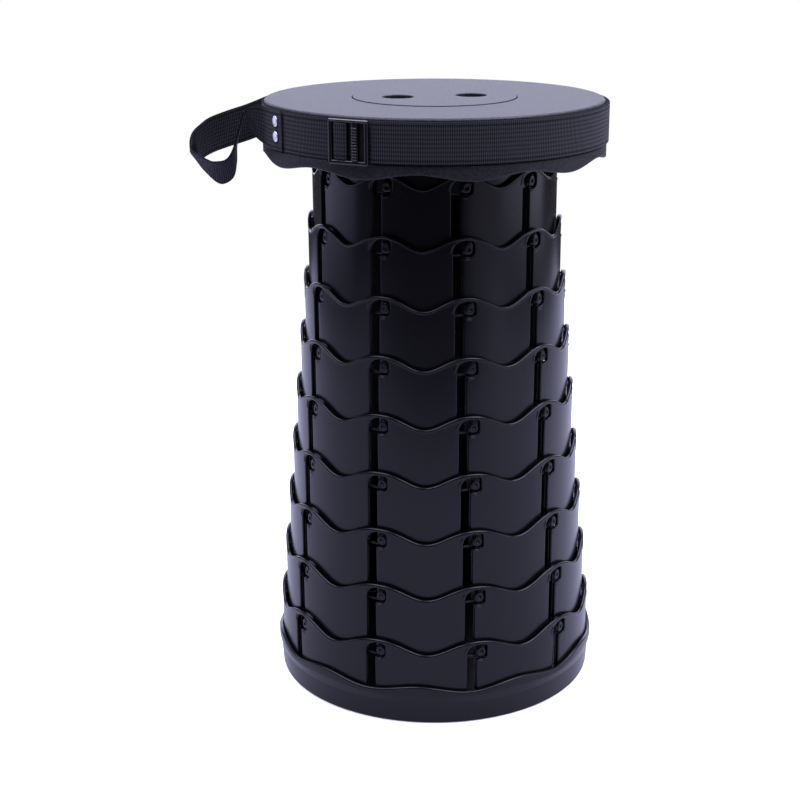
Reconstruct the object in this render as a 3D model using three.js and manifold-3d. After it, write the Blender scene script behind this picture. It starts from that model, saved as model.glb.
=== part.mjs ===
// A collapsible telescopic stool: a round seat on ten nested tubes that lift, turn a little and lock.
// Millimetres, +Z up. The origin is on the floor under the middle of the base.
// Azimuth 0 points to -Y, the front of the stool, and grows towards +X.
import * as THREE from 'three';
import { mergeVertices } from 'three/addons/utils/BufferGeometryUtils.js';
import Module from 'manifold-3d';

const wasm = await Module();
wasm.setup();

// Counts and angles
const ringCount = 9;
const waveCount = 10;
const segmentsAround = 60;
const crestAzimuth = THREE.MathUtils.degToRad(14);
const stageTwist = THREE.MathUtils.degToRad(0.35);
const rimWaveAzimuth = THREE.MathUtils.degToRad(12.5);
const fullTurn = 2 * Math.PI;

// Clearances
const slideGap = 0.3;
const fitGap = 0.3;
const nestGap = 0.5;
const overrun = 1;

// Rings: thin tubes with a wavy top edge and a hooked lock slot under each crest
const lowestRingRadius = 123;
const ringRadiusStep = 3.95;
const ringWall = 2.4;
const ringHeight = 57;
const ringFootHeight = 8;
const ringOverlap = 14.3;
const waveRise = 4.73;
const waveSharpening = 0.46;

// Lock slots, measured from the crest above them
const footHoop = 2.8;
const channelWidth = 7.2;
const channelLean = 5;
const pocketReach = 8.3;
const pocketDrop = 13.4;
const pocketCorner = 3;
const archDrop = 2.4;
const archShoulderDrop = 10;
const archEndDrop = 3;
const archEndChamfer = 1.2;

// Lock pins on the foot of every tube but the lowest ring
const pinRadius = 3.2;
const pinReach = 1.3;
const pinRoot = 0.4;

// Seat
const seatThickness = 3.2;
const seatEdgeInset = 4.8;
const seatEdgeFillet = 6.3;
const skirtWall = 3.5;
const strapGrooveDepth = 1.7;
const skirtDepth = 40;
const skirtStep = 0.6;
const rimWaveRise = 2.35;
const nestClearance = 1;
const spigotHeight = 54.5;
const socketWall = 2;
const socketDepth = 8;
const seatRibWidth = 2.4;
const seatRibDepth = 6;

// Round plate in the middle of the seat
const plateRadius = 60.3;
const plateGap = 0.6;
const plateThickness = 3;
const ledgeWidth = 3.9;
const ledgeThickness = 3;
const ledgeWall = 2.3;
const fingerHoleRadius = 9.6;
const fingerHoleFlare = 1.6;
const fingerHoleSpacing = 55;
const fingerHoleTurn = THREE.MathUtils.degToRad(11);
const fingerCollarWall = 2.2;
const fingerCollarDepth = 7;

// Base tray
const baseFloorThickness = 3;
const baseWall = 1.4;
const baseDraft = 1.1;
const baseToeRound = 1.2;
const baseNeckHeight = 17;
const baseFlareHeight = 23.5;
const baseRimWall = 3;
const baseLedgeWidth = 5;
const rimClearance = 0.5;

// Webbing strap round the seat
const webbingWidth = 28.5;
const webbingThickness = 1.3;
const webbingTopDrop = 1.9;
const outerBandStart = THREE.MathUtils.degToRad(-19.3);
const outerBandSteps = 44;

// Free loop of the strap at the left of the seat
const loopCutAzimuth = THREE.MathUtils.degToRad(-56.3);
const loopLeaveAzimuth = THREE.MathUtils.degToRad(-66);
const loopLandAzimuth = THREE.MathUtils.degToRad(-109);
const loopLift = 0.6;
const loopReach = 51;
const loopDepth = 40;
const loopDrop = 36;
const loopSteps = 48;

// Rivets that hold the loop's cut end
const rivetAzimuth = THREE.MathUtils.degToRad(-60.3);
const rivetSpacing = 11;
const rivetHeadRadius = 4.3;
const rivetHeadHeight = 1.2;
const rivetShankRadius = 2.1;
const rivetHoleGap = 0.3;

// Slider that takes up the strap
const sliderAzimuth = THREE.MathUtils.degToRad(-26.85);
const sliderLength = 30.6;
const sliderHeight = 31;
const sliderThickness = 2.6;
const sliderRail = 2.2;
const sliderLeftBar = 5.3;
const sliderWrapWindow = 12.8;
const sliderGripBar = 5;
const sliderRightBar = 2.7;
const sliderCentreBar = 3.5;
const sliderCentreBarOffset = 3.2;
const sliderCentreBarThickness = 1.2;
const wrapLength = 8.8;
const wrapEdgeGap = 0.3;
const wrapSideGap = 0.4;

// Heights that follow from the sizes above
const stageTravel = ringHeight - ringOverlap;
const crestHeight = ringFootHeight + ringHeight;
const spigotFootHeight = ringFootHeight + ringCount * stageTravel;
const seatUnderside = spigotFootHeight + spigotHeight;
const seatTop = seatUnderside + seatThickness;
const topRingCrest = crestHeight + (ringCount - 1) * stageTravel;
const seatTravel = seatUnderside - topRingCrest - nestClearance;
const seatDrop = (ringCount - 1) * stageTravel + seatTravel;
const skirtEdgeHeight = seatTop - skirtDepth;
const baseRimHeight = skirtEdgeHeight - seatDrop - rimClearance;
const webbingTop = seatTop - webbingTopDrop;
const webbingMiddle = webbingTop - webbingWidth / 2;

// Radii that follow from the sizes above
const nestRadius = lowestRingRadius + nestGap;
const skirtRadius = nestRadius + skirtWall;
const seatGrooveRadius = skirtRadius - strapGrooveDepth;
const seatFlatRadius = seatGrooveRadius - seatEdgeInset;
const baseWallRadius = nestRadius + baseWall;
const baseToeRadius = baseWallRadius - baseDraft;
const baseRimRadius = nestRadius + baseRimWall;
const bandInnerRadius = seatGrooveRadius + fitGap;
const bandOuterRadius = bandInnerRadius + webbingThickness;
const layerInnerRadius = bandOuterRadius + fitGap;
const layerOuterRadius = layerInnerRadius + webbingThickness;
const layerMiddleRadius = layerInnerRadius + webbingThickness / 2;
const plateOpening = plateRadius + plateGap;
const outerBandEnd = outerBandStart + (outerBandSteps * fullTurn) / segmentsAround;

// Turns a closed geometry into a solid that can be joined and cut
function toSolid(geometry) {
  geometry.deleteAttribute('normal');
  geometry.deleteAttribute('uv');
  const welded = mergeVertices(geometry);
  const vertProperties = new Float32Array(welded.attributes.position.array);
  const triVerts = new Uint32Array(welded.index.array);
  return new wasm.Manifold(new wasm.Mesh({ numProp: 3, vertProperties, triVerts }));
}

// Turns a solid back into a geometry
function toGeometry(solid) {
  const mesh = solid.getMesh();
  const geometry = new THREE.BufferGeometry();
  geometry.setAttribute('position', new THREE.BufferAttribute(mesh.vertProperties, mesh.numProp));
  geometry.setIndex(new THREE.BufferAttribute(mesh.triVerts, 1));
  geometry.computeVertexNormals();
  return geometry;
}

// Cuts a list of tool geometries out of a solid
function cutAll(solid, tools) {
  return tools.reduce((rest, tool) => rest.subtract(toSolid(tool)), solid);
}

// Joins a list of geometries to a solid
function joinAll(solid, pieces) {
  return pieces.reduce((whole, piece) => whole.add(toSolid(piece)), solid);
}

// Revolves a closed outline of [radius, height] points about the Z axis
function turned(outline, startAzimuth = 0, segments = segmentsAround) {
  const points = outline.map(([radius, height]) => new THREE.Vector2(radius, height));
  points.push(points[0].clone());
  return new THREE.LatheGeometry(points, segments, startAzimuth).rotateX(Math.PI / 2);
}

// Lifts the points of a revolved shape that lie on one level by a height that depends on the azimuth
function rippled(geometry, level, heightAt) {
  const position = geometry.attributes.position;
  const slack = overrun / 100;
  for (let i = 0; i < position.count; i += 1) {
    if (Math.abs(position.getZ(i) - level) < slack) {
      const azimuth = Math.atan2(position.getX(i), -position.getY(i));
      position.setZ(i, level + heightAt(azimuth));
    }
  }
  return geometry;
}

// Places a shape drawn flat (x along the wall, y up, z outwards) on a wall of the given radius
function onWall(geometry, azimuth, radius, height) {
  const along = new THREE.Vector3(Math.cos(azimuth), Math.sin(azimuth), 0);
  const up = new THREE.Vector3(0, 0, 1);
  const out = new THREE.Vector3(Math.sin(azimuth), -Math.cos(azimuth), 0);
  const place = new THREE.Matrix4().makeBasis(along, up, out);
  place.setPosition(out.x * radius, out.y * radius, height);
  return geometry.applyMatrix4(place);
}

// A round bar that points outwards from a wall, from z = 0 to its length
function outwardBar(radius, length, sides) {
  const corners = Array.from({ length: sides }, (_, i) => {
    const turn = ((i + 1 / 2) * fullTurn) / sides;
    return new THREE.Vector2(radius * Math.cos(turn), radius * Math.sin(turn));
  });
  return new THREE.ExtrudeGeometry(new THREE.Shape(corners), { depth: length, bevelEnabled: false });
}

// Height of a ring's top edge below its crest, at an angle from the crest
function crestWave(angle) {
  const wave = waveRise * Math.cos(waveCount * angle) - waveSharpening * Math.cos(2 * waveCount * angle);
  return wave - (waveRise - waveSharpening);
}

// Height of the seat's skirt edge and of the base's rim about their mean level
function rimWave(azimuth) {
  return -rimWaveRise * Math.cos(waveCount * (azimuth - rimWaveAzimuth));
}

// Sizes and places of the tubes, counted from 0 for the seat's spigot to the lowest ring
function ringRadius(number) {
  return lowestRingRadius - ringRadiusStep * (ringCount - number);
}

function ringFoot(number) {
  return ringFootHeight + (ringCount - number) * stageTravel;
}

function ringCrestAzimuth(number) {
  return crestAzimuth + stageTwist * (number - (ringCount + 1) / 2);
}

// The azimuths of all crests of one ring
function crestAzimuths(number) {
  return Array.from({ length: waveCount }, (_, i) => ringCrestAzimuth(number) + (i * fullTurn) / waveCount);
}

// Where along the wall the lock pin sits, from the crest above it
const channelLeft = -channelLean - channelWidth / 2;
const channelRight = channelLeft + channelWidth;
const pocketRight = channelRight + pocketReach;
const pinOffset = channelRight + pocketReach / 2 + slideGap;
const pinDrop = pocketDrop - slideGap - pinRadius;

// Outline of one lock slot: up the channel, over the arch and down into the pocket
function lockSlotShape() {
  const foot = footHoop - ringHeight;
  const archTop = pinOffset - pinRadius;
  const shape = new THREE.Shape();
  shape.moveTo(channelLeft, foot);
  shape.lineTo(channelLeft, -archShoulderDrop);
  const archWidth = archTop - channelLeft;
  const archRise = archShoulderDrop - archDrop;
  shape.absellipse(archTop, -archShoulderDrop, archWidth, archRise, Math.PI, Math.PI / 2, true);
  shape.lineTo(pocketRight - archEndChamfer, -archEndDrop);
  shape.lineTo(pocketRight, -archEndDrop - archEndChamfer);
  shape.lineTo(pocketRight, -pocketDrop + pocketCorner);
  shape.lineTo(pocketRight - pocketCorner, -pocketDrop);
  shape.lineTo(channelRight, -pocketDrop);
  shape.lineTo(channelRight, foot);
  return shape;
}

// The tool that cuts one lock slot through a wall
function lockSlotTool(azimuth, radius, crest) {
  const depth = ringWall + 2 * overrun;
  const tool = new THREE.ExtrudeGeometry(lockSlotShape(), { depth, bevelEnabled: false, curveSegments: 2 });
  return onWall(tool, azimuth, radius - ringWall - overrun, crest);
}

// The tool that thins the inner face under a pocket, where the next tube's pin runs
function pinTrackTool(azimuth, radius, crest) {
  const width = 2 * (pinRadius + slideGap);
  const height = ringHeight - pocketDrop + 2 * overrun;
  const depth = overrun + pinReach + slideGap;
  const tool = new THREE.BoxGeometry(width, height, depth);
  tool.translate(0, -pocketDrop + overrun - height / 2, depth / 2);
  return onWall(tool, azimuth, radius - ringWall - overrun, crest);
}

// The lock pins on the foot of one tube, each in the pocket of the next larger ring
function lockPins(number) {
  const radius = ringRadius(number);
  const outerWall = ringRadius(number + 1) - ringWall;
  const length = outerWall + pinReach - radius + pinRoot;
  const height = ringFoot(number + 1) + ringHeight - pinDrop;
  const turn = pinOffset / ringRadius(number + 1);
  return crestAzimuths(number + 1).map((azimuth) =>
    onWall(outwardBar(pinRadius, length, 6), azimuth + turn, radius - pinRoot, height));
}

// One ring: a wavy tube with its lock slots, pin tracks and, above the lowest ring, lock pins
function ringGeometry(number) {
  const outer = ringRadius(number);
  const inner = outer - ringWall;
  const foot = ringFoot(number);
  const crest = foot + ringHeight;
  const azimuth = ringCrestAzimuth(number);
  const tube = turned([[inner, foot], [outer, foot], [outer, crest], [inner, crest]], azimuth);
  const wavy = rippled(tube, crest, (at) => crestWave(at - azimuth));
  const slots = crestAzimuths(number).map((at) => lockSlotTool(at, outer, crest));
  const tracks = crestAzimuths(number).map((at) => pinTrackTool(at + pinOffset / outer, outer, crest));
  const wall = cutAll(toSolid(wavy), [...slots, ...tracks]);
  const pins = number < ringCount ? lockPins(number) : [];
  return toGeometry(joinAll(wall, pins));
}

// The spigot under the seat: a plain tube whose pins lock into the top ring
function spigotGeometry() {
  const outer = ringRadius(0);
  const inner = outer - ringWall;
  const foot = spigotFootHeight;
  const top = seatUnderside - fitGap;
  const tube = turned([[inner, foot], [outer, foot], [outer, top], [inner, top]], ringCrestAzimuth(0));
  return toGeometry(joinAll(toSolid(tube), lockPins(0)));
}

// The ribs under the seat, between the plate's ledge and the spigot's socket
function seatRibs(innerRadius, outerRadius) {
  const length = outerRadius - innerRadius;
  const top = seatUnderside + seatThickness / 2;
  const height = seatRibDepth + seatThickness / 2;
  return Array.from({ length: waveCount }, (_, i) => {
    const rib = new THREE.BoxGeometry(seatRibWidth, height, length);
    return onWall(rib, (i * fullTurn) / waveCount, innerRadius + length / 2, top - height / 2);
  });
}

// The seat: flat top with a rounded edge, a groove for the strap, a wavy skirt and the spigot's socket
function seatShellGeometry() {
  const filletSweep = Math.asin((seatGrooveRadius - seatFlatRadius) / seatEdgeFillet);
  const filletPoint = (share) => [
    seatFlatRadius + seatEdgeFillet * Math.sin(filletSweep * share),
    seatTop - seatEdgeFillet * (1 - Math.cos(filletSweep * share)),
  ];
  const grooveFoot = webbingTop - webbingWidth - fitGap;
  const socketOuter = ringRadius(0) - ringWall - fitGap;
  const socketInner = socketOuter - socketWall;
  const ledgeTop = seatTop - plateThickness - fitGap;
  const ledgeOuter = plateOpening + ledgeWall;
  const ledgeInner = plateOpening - ledgeWidth;
  const outline = [
    [ledgeInner, ledgeTop],
    [ledgeInner, ledgeTop - ledgeThickness],
    [ledgeOuter, ledgeTop - ledgeThickness],
    [ledgeOuter, seatUnderside],
    [socketInner, seatUnderside],
    [socketInner, seatUnderside - socketDepth],
    [socketOuter, seatUnderside - socketDepth],
    [socketOuter, seatUnderside],
    [nestRadius, seatUnderside],
    [nestRadius, skirtEdgeHeight],
    [skirtRadius, skirtEdgeHeight],
    [skirtRadius, grooveFoot - skirtStep],
    [seatGrooveRadius, grooveFoot],
    filletPoint(1),
    filletPoint(1 / 2),
    filletPoint(0),
    [plateOpening, seatTop],
    [plateOpening, ledgeTop],
  ];
  const shell = rippled(turned(outline, rimWaveAzimuth), skirtEdgeHeight, rimWave);
  const ribs = seatRibs(plateOpening + ledgeWall / 2, socketInner + socketWall / 2);
  return toGeometry(joinAll(toSolid(shell), ribs));
}

// The places of the two finger holes, one each side of the middle
function fingerHolePlaces() {
  const reach = fingerHoleSpacing / 2;
  return [-1, 1].map((side) => [
    side * reach * Math.cos(fingerHoleTurn),
    side * reach * Math.sin(fingerHoleTurn),
  ]);
}

// The round plate in the seat with two flared finger holes in short collars
function centrePlateGeometry() {
  const bottom = seatTop - plateThickness;
  const disc = turned([[0, bottom], [plateRadius, bottom], [plateRadius, seatTop], [0, seatTop]], 0, 48);
  const collarFoot = bottom - fingerCollarDepth;
  const collarOuter = fingerHoleRadius + fingerCollarWall;
  const mouth = fingerHoleRadius + fingerHoleFlare;
  const inside = bottom + plateThickness / 2;
  const collarOutline = [[0, collarFoot], [collarOuter, collarFoot], [collarOuter, inside], [0, inside]];
  const holeOutline = [
    [0, collarFoot - overrun],
    [fingerHoleRadius, collarFoot - overrun],
    [fingerHoleRadius, seatTop - fingerHoleFlare],
    [mouth, seatTop],
    [mouth, seatTop + overrun],
    [0, seatTop + overrun],
  ];
  const placed = (outline) =>
    fingerHolePlaces().map(([x, y]) => turned(outline, 0, 16).translate(x, y, 0));
  const collars = joinAll(toSolid(disc), placed(collarOutline));
  return toGeometry(cutAll(collars, placed(holeOutline)));
}

// The base: a floor, a ledge that carries the lowest ring and a low wall with a flared wavy rim
function baseTrayGeometry() {
  const ledgeTop = ringFootHeight - fitGap;
  const ledgeInner = nestRadius - baseLedgeWidth;
  const outline = [
    [0, 0],
    [baseToeRadius - baseToeRound, 0],
    [baseToeRadius, baseToeRound],
    [baseWallRadius, baseNeckHeight],
    [baseRimRadius, baseFlareHeight],
    [baseRimRadius, baseRimHeight],
    [nestRadius, baseRimHeight],
    [nestRadius, ledgeTop],
    [ledgeInner, ledgeTop],
    [ledgeInner, baseFloorThickness],
    [0, baseFloorThickness],
  ];
  return rippled(turned(outline, rimWaveAzimuth), baseRimHeight, rimWave);
}

// The holes that the rivets pass through, in the layers of webbing
function rivetHoleTools() {
  const radius = rivetShankRadius + rivetHoleGap;
  const length = layerOuterRadius - bandInnerRadius + 2 * overrun;
  return rivetHeights().map((height) =>
    onWall(outwardBar(radius, length, 8), rivetAzimuth, bandInnerRadius - overrun, height));
}

function rivetHeights() {
  return [webbingMiddle + rivetSpacing / 2, webbingMiddle - rivetSpacing / 2];
}

// The inner layer of webbing, a closed band in the seat's groove
function strapBandGeometry() {
  const bottom = webbingTop - webbingWidth;
  const outline = [
    [bandInnerRadius, bottom],
    [bandOuterRadius, bottom],
    [bandOuterRadius, webbingTop],
    [bandInnerRadius, webbingTop],
  ];
  return toGeometry(cutAll(toSolid(turned(outline, outerBandStart)), rivetHoleTools()));
}

// The outer layer of webbing, from the slider round the right side and the back to the loop
function strapOuterBandGeometry() {
  const start = outerBandStart - Math.PI / 2;
  const end = outerBandEnd - Math.PI / 2;
  const shape = new THREE.Shape();
  shape.absarc(0, 0, layerOuterRadius, start, end, false);
  shape.absarc(0, 0, layerInnerRadius, end, start, true);
  const options = { depth: webbingWidth, bevelEnabled: false, curveSegments: outerBandSteps / 2 };
  const layer = new THREE.ExtrudeGeometry(shape, options);
  return toGeometry(toSolid(layer.translate(0, 0, webbingTop - webbingWidth)));
}

// The free loop's stations, as shares of its reach, depth and drop, and the way its width points
const loopStationShares = [
  { place: [-0.13, -1.16, -0.03], across: [-0.02, 0.22, -0.98] },
  { place: [-0.01, -1.06, -0.09], across: [-0.03, 0.48, -0.88] },
  { place: [0.08, -0.96, -0.14], across: [-0.07, 0.73, -0.68] },
  { place: [0.14, -0.87, -0.21], across: [-0.10, 0.92, -0.38] },
  { place: [0.20, -0.80, -0.17], across: [-0.12, 0.97, -0.21] },
  { place: [0.26, -0.73, 0.10], across: [-0.13, 0.97, -0.22] },
  { place: [0.32, -0.66, 0.39], across: [-0.11, 0.96, -0.27] },
  { place: [0.36, -0.61, 0.69], across: [-0.03, 0.88, -0.47] },
  { place: [0.43, -0.57, 0.92], across: [0.01, 0.77, -0.63] },
  { place: [0.57, -0.52, 1.02], across: [-0.08, 0.71, -0.70] },
  { place: [0.75, -0.43, 0.92], across: [-0.27, 0.87, -0.42] },
  { place: [0.91, -0.25, 0.78], across: [-0.24, 0.93, -0.26] },
  { place: [1.05, -0.02, 0.66], across: [-0.18, 0.97, -0.17] },
  { place: [1.06, 0.15, 0.60], across: [-0.10, 0.84, -0.53] },
  { place: [0.99, 0.35, 0.58], across: [-0.02, 0.40, -0.91] },
  { place: [0.83, 0.55, 0.44], across: [0.00, 0.25, -0.97] },
  { place: [0.58, 0.72, 0.32], across: [0.01, 0.21, -0.98] },
  { place: [0.30, 0.89, 0.21], across: [0.00, 0.17, -0.99] },
  { place: [0.01, 0.95, 0.06], across: [0.00, 0.08, -1.00] },
];

// A point near the outer layer's middle, lifted off the rim
function onRim(azimuth, lift) {
  const radius = layerMiddleRadius + lift;
  return new THREE.Vector3(radius * Math.sin(azimuth), -radius * Math.cos(azimuth), webbingMiddle);
}

// The loop's middle line and the direction of its width, as two smooth curves
function loopCurves() {
  const down = new THREE.Vector3(0, 0, -1);
  const rimStart = [onRim(loopCutAzimuth, 0), onRim(rivetAzimuth, 0), onRim(loopLeaveAzimuth, loopLift)];
  const endAzimuth = outerBandEnd + fitGap / layerMiddleRadius;
  const rimEnd = [onRim(loopLandAzimuth, loopLift), onRim((loopLandAzimuth + endAzimuth - fullTurn) / 2, 0),
    onRim(endAzimuth, 0)];
  const free = loopStationShares.map(({ place: [reachShare, depthShare, dropShare] }) => {
    const x = -layerMiddleRadius - reachShare * loopReach;
    return new THREE.Vector3(x, depthShare * loopDepth, webbingMiddle - dropShare * loopDrop);
  });
  const freeAcross = loopStationShares.map((station) => new THREE.Vector3(...station.across).normalize());
  const middle = [...rimStart, ...free, ...rimEnd];
  const across = [...rimStart.map(() => down), ...freeAcross, ...rimEnd.map(() => down)];
  return [new THREE.CatmullRomCurve3(middle), new THREE.CatmullRomCurve3(across)];
}

// The free loop: a ribbon of webbing carried along its middle line, closed at both ends
function strapLoopGeometry() {
  const [middle, across] = loopCurves();
  const positions = [];
  for (let i = 0; i <= loopSteps; i += 1) {
    const share = i / loopSteps;
    const point = middle.getPoint(share);
    const width = across.getPoint(share).normalize();
    const face = new THREE.Vector3().crossVectors(middle.getTangent(share), width).normalize();
    const corners = [[-1, -1], [1, -1], [1, 1], [-1, 1]];
    corners.forEach(([side, layer]) => {
      const corner = point.clone().addScaledVector(width, (side * webbingWidth) / 2);
      corner.addScaledVector(face, (layer * webbingThickness) / 2);
      positions.push(corner.x, corner.y, corner.z);
    });
  }
  const last = 4 * loopSteps;
  const index = [0, 2, 1, 0, 3, 2];
  index.push(last, last + 1, last + 2, last, last + 2, last + 3);
  for (let i = 0; i < loopSteps; i += 1) {
    for (let corner = 0; corner < 4; corner += 1) {
      const a = 4 * i + corner;
      const b = 4 * i + ((corner + 1) % 4);
      index.push(a, b, a + 4, b, b + 4, a + 4);
    }
  }
  const ribbon = new THREE.BufferGeometry();
  ribbon.setAttribute('position', new THREE.Float32BufferAttribute(positions, 3));
  ribbon.setIndex(index);
  return toGeometry(cutAll(toSolid(ribbon), rivetHoleTools()));
}

// One rivet: a low domed head outside the webbing and a shank through both layers
function rivetGeometry(height) {
  const headStart = layerOuterRadius + fitGap - bandInnerRadius;
  const outline = [
    [0, 0],
    [rivetShankRadius, 0],
    [rivetShankRadius, headStart],
    [rivetHeadRadius, headStart],
    [rivetHeadRadius * Math.cos(Math.PI / 4), headStart + rivetHeadHeight * Math.sin(Math.PI / 4)],
    [0, headStart + rivetHeadHeight],
  ];
  return onWall(turned(outline, 0, 10), rivetAzimuth, bandInnerRadius, height);
}

// The slider frame: a flat plate with two windows and a bar across the first one
function sliderFrameGeometry() {
  const plate = new THREE.BoxGeometry(sliderLength, sliderHeight, sliderThickness);
  const left = -sliderLength / 2;
  const windowHeight = sliderHeight - 2 * sliderRail;
  const narrowWindow = sliderLength - sliderLeftBar - sliderWrapWindow - sliderGripBar - sliderRightBar;
  const windowDepth = sliderThickness + 2 * overrun;
  const windowTool = (start, width) =>
    new THREE.BoxGeometry(width, windowHeight, windowDepth).translate(start + width / 2, 0, 0);
  const windows = [
    windowTool(left + sliderLeftBar, sliderWrapWindow),
    windowTool(-left - sliderRightBar - narrowWindow, narrowWindow),
  ];
  const bar = new THREE.BoxGeometry(sliderCentreBar, sliderHeight - sliderRail, sliderCentreBarThickness);
  const barX = left + sliderLeftBar + sliderCentreBarOffset + sliderCentreBar / 2;
  bar.translate(barX, 0, (sliderCentreBarThickness - sliderThickness) / 2);
  const frame = joinAll(cutAll(toSolid(plate), windows), [bar]);
  return onWall(toGeometry(frame), sliderAzimuth, layerInnerRadius + sliderThickness / 2, webbingMiddle);
}

// The stretch of webbing that passes over the slider's centre bar
function sliderWrapGeometry() {
  const width = sliderHeight - 2 * sliderRail - 2 * wrapSideGap;
  const wrap = new THREE.BoxGeometry(wrapLength, width, webbingThickness);
  const start = -sliderLength / 2 + sliderLeftBar + wrapEdgeGap;
  wrap.translate(start + wrapLength / 2, 0, 0);
  const radius = layerInnerRadius + sliderCentreBarThickness + fitGap + webbingThickness / 2;
  return onWall(wrap, sliderAzimuth, radius, webbingMiddle);
}

// Materials
function glossyPlastic() {
  return new THREE.MeshStandardMaterial({ color: 0x17181d, roughness: 0.32, metalness: 0 });
}

function grainedPlastic() {
  return new THREE.MeshStandardMaterial({ color: 0x4a4a55, roughness: 0.7, metalness: 0 });
}

function webbing() {
  return new THREE.MeshStandardMaterial({ color: 0x1c1d20, roughness: 0.9, metalness: 0 });
}

function nickelSteel() {
  return new THREE.MeshStandardMaterial({ color: 0xc9ccd2, roughness: 0.25, metalness: 1 });
}

// Makes one named mesh
function piece(name, geometry, material) {
  const mesh = new THREE.Mesh(geometry, material);
  mesh.name = name;
  return mesh;
}

// The rings, from ring_1 under the seat to the lowest one in the base
function ringGroup() {
  const group = new THREE.Group();
  for (let number = 1; number <= ringCount; number += 1) {
    group.add(piece(`ring_${number}`, ringGeometry(number), glossyPlastic()));
  }
  return group;
}

// The seat with its spigot and centre plate
function seatGroup() {
  const group = new THREE.Group();
  group.add(piece('seat_shell', seatShellGeometry(), grainedPlastic()));
  group.add(piece('seat_centre_plate', centrePlateGeometry(), grainedPlastic()));
  group.add(piece('seat_spigot', spigotGeometry(), glossyPlastic()));
  return group;
}

// The webbing strap with its rivets and slider
function strapGroup() {
  const group = new THREE.Group();
  const [upper, lower] = rivetHeights();
  group.add(piece('strap_band', strapBandGeometry(), webbing()));
  group.add(piece('strap_outer_band', strapOuterBandGeometry(), webbing()));
  group.add(piece('strap_loop', strapLoopGeometry(), webbing()));
  group.add(piece('strap_rivet_upper', rivetGeometry(upper), nickelSteel()));
  group.add(piece('strap_rivet_lower', rivetGeometry(lower), nickelSteel()));
  group.add(piece('strap_slider_frame', sliderFrameGeometry(), glossyPlastic()));
  group.add(piece('strap_slider_wrap', sliderWrapGeometry(), webbing()));
  return group;
}

const stool = new THREE.Group();
stool.add(piece('base_tray', baseTrayGeometry(), glossyPlastic()));
stool.add(ringGroup(), seatGroup(), strapGroup());

export default stool;
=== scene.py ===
"""The collapsible telescopic stool's finished look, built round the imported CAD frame.

Lengths in the dataclasses are millimetres and meshes are written in metres, in the CAD's frame.
Azimuth 0 points to -Y, the front of the stool, and grows towards +X.
"""

import logging
import math
from dataclasses import dataclass, field
from enum import Enum
from typing import Callable, Sequence

import bmesh
import bpy
import numpy as np
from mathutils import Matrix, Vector


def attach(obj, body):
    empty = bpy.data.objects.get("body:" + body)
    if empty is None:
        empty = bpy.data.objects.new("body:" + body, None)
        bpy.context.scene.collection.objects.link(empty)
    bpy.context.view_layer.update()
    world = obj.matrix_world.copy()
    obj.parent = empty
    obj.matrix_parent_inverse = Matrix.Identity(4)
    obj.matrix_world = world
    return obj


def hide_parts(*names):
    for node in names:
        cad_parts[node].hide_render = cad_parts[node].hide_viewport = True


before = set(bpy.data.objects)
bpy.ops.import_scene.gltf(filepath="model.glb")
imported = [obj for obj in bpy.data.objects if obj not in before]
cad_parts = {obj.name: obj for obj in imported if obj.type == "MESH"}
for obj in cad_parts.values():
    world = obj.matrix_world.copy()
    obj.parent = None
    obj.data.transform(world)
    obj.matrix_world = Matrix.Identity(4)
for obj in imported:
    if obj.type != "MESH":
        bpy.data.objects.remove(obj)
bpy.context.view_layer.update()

LOG = logging.getLogger("stool")
MM = 0.001
FULL_TURN = 2 * math.pi
RIGHT_ANGLE = math.pi / 2
# Points that round to the same thousandth of a millimetre are joined. The shift keeps round sizes off
# the limit between two of them.
WELD_STEPS_PER_MM = 1000
WELD_SHIFT = 0.137
LEAST_LENGTH = 1e-12
LEAST_SPLINE_GAP = 1e-4
# A Mix node's colours share their names with its numbers, so they are found by number
MIX_FIRST, MIX_SECOND, MIX_COLOUR = 6, 7, 2
Array = np.ndarray


# Shared sizes
@dataclass(frozen=True)
class Sizes:
    """Sizes that the look shares with the CAD, in millimetres, and its counts and angles."""

    rings: int = 9
    waves: int = 10
    crest_azimuth: float = math.radians(14)
    twist: float = math.radians(0.35)
    rim_azimuth: float = math.radians(12.5)
    lowest_radius: float = 123.0
    radius_step: float = 3.95
    wall: float = 2.4
    height: float = 57.0
    foot: float = 8.0
    travel: float = 42.7
    wave_rise: float = 4.73
    wave_sharpening: float = 0.46
    rim_rise: float = 2.35
    nest_radius: float = 123.5
    seat_top: float = 450.0
    seat_underside: float = 446.8
    webbing_width: float = 28.5
    webbing_middle: float = 433.85
    fit_gap: float = 0.3

    def ring_radius(self, number: int) -> float:
        """The outer radius of a tube, counted from 0 for the seat's spigot up to the lowest ring."""
        return self.lowest_radius - self.radius_step * (self.rings - number)

    def ring_foot(self, number: int) -> float:
        """The height of a tube's foot."""
        return self.foot + (self.rings - number) * self.travel

    def ring_crest(self, number: int) -> float:
        """The height of a ring's crests."""
        return self.ring_foot(number) + self.height

    def ring_azimuth(self, number: int) -> float:
        """The azimuth of one of a ring's crests."""
        return self.crest_azimuth + self.twist * (number - (self.rings + 1) / 2)

    def crest_wave(self, along: Array, radius: float) -> Array:
        """The top edge's height under the crest: a cosine of ten waves less a weak one of twenty."""
        turn = self.waves * along / radius
        return self.wave_rise * (np.cos(turn) - 1) - self.wave_sharpening * (np.cos(2 * turn) - 1)

    def rim_wave(self, azimuth: Array, height: Array, none: float, full: float) -> Array:
        """The skirt's and the base rim's wave: a cosine of ten waves, growing between two heights."""
        share = smooth_step((height - none) / (full - none))
        return -self.rim_rise * np.cos(self.waves * (azimuth - self.rim_azimuth)) * share


SIZES = Sizes()


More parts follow.
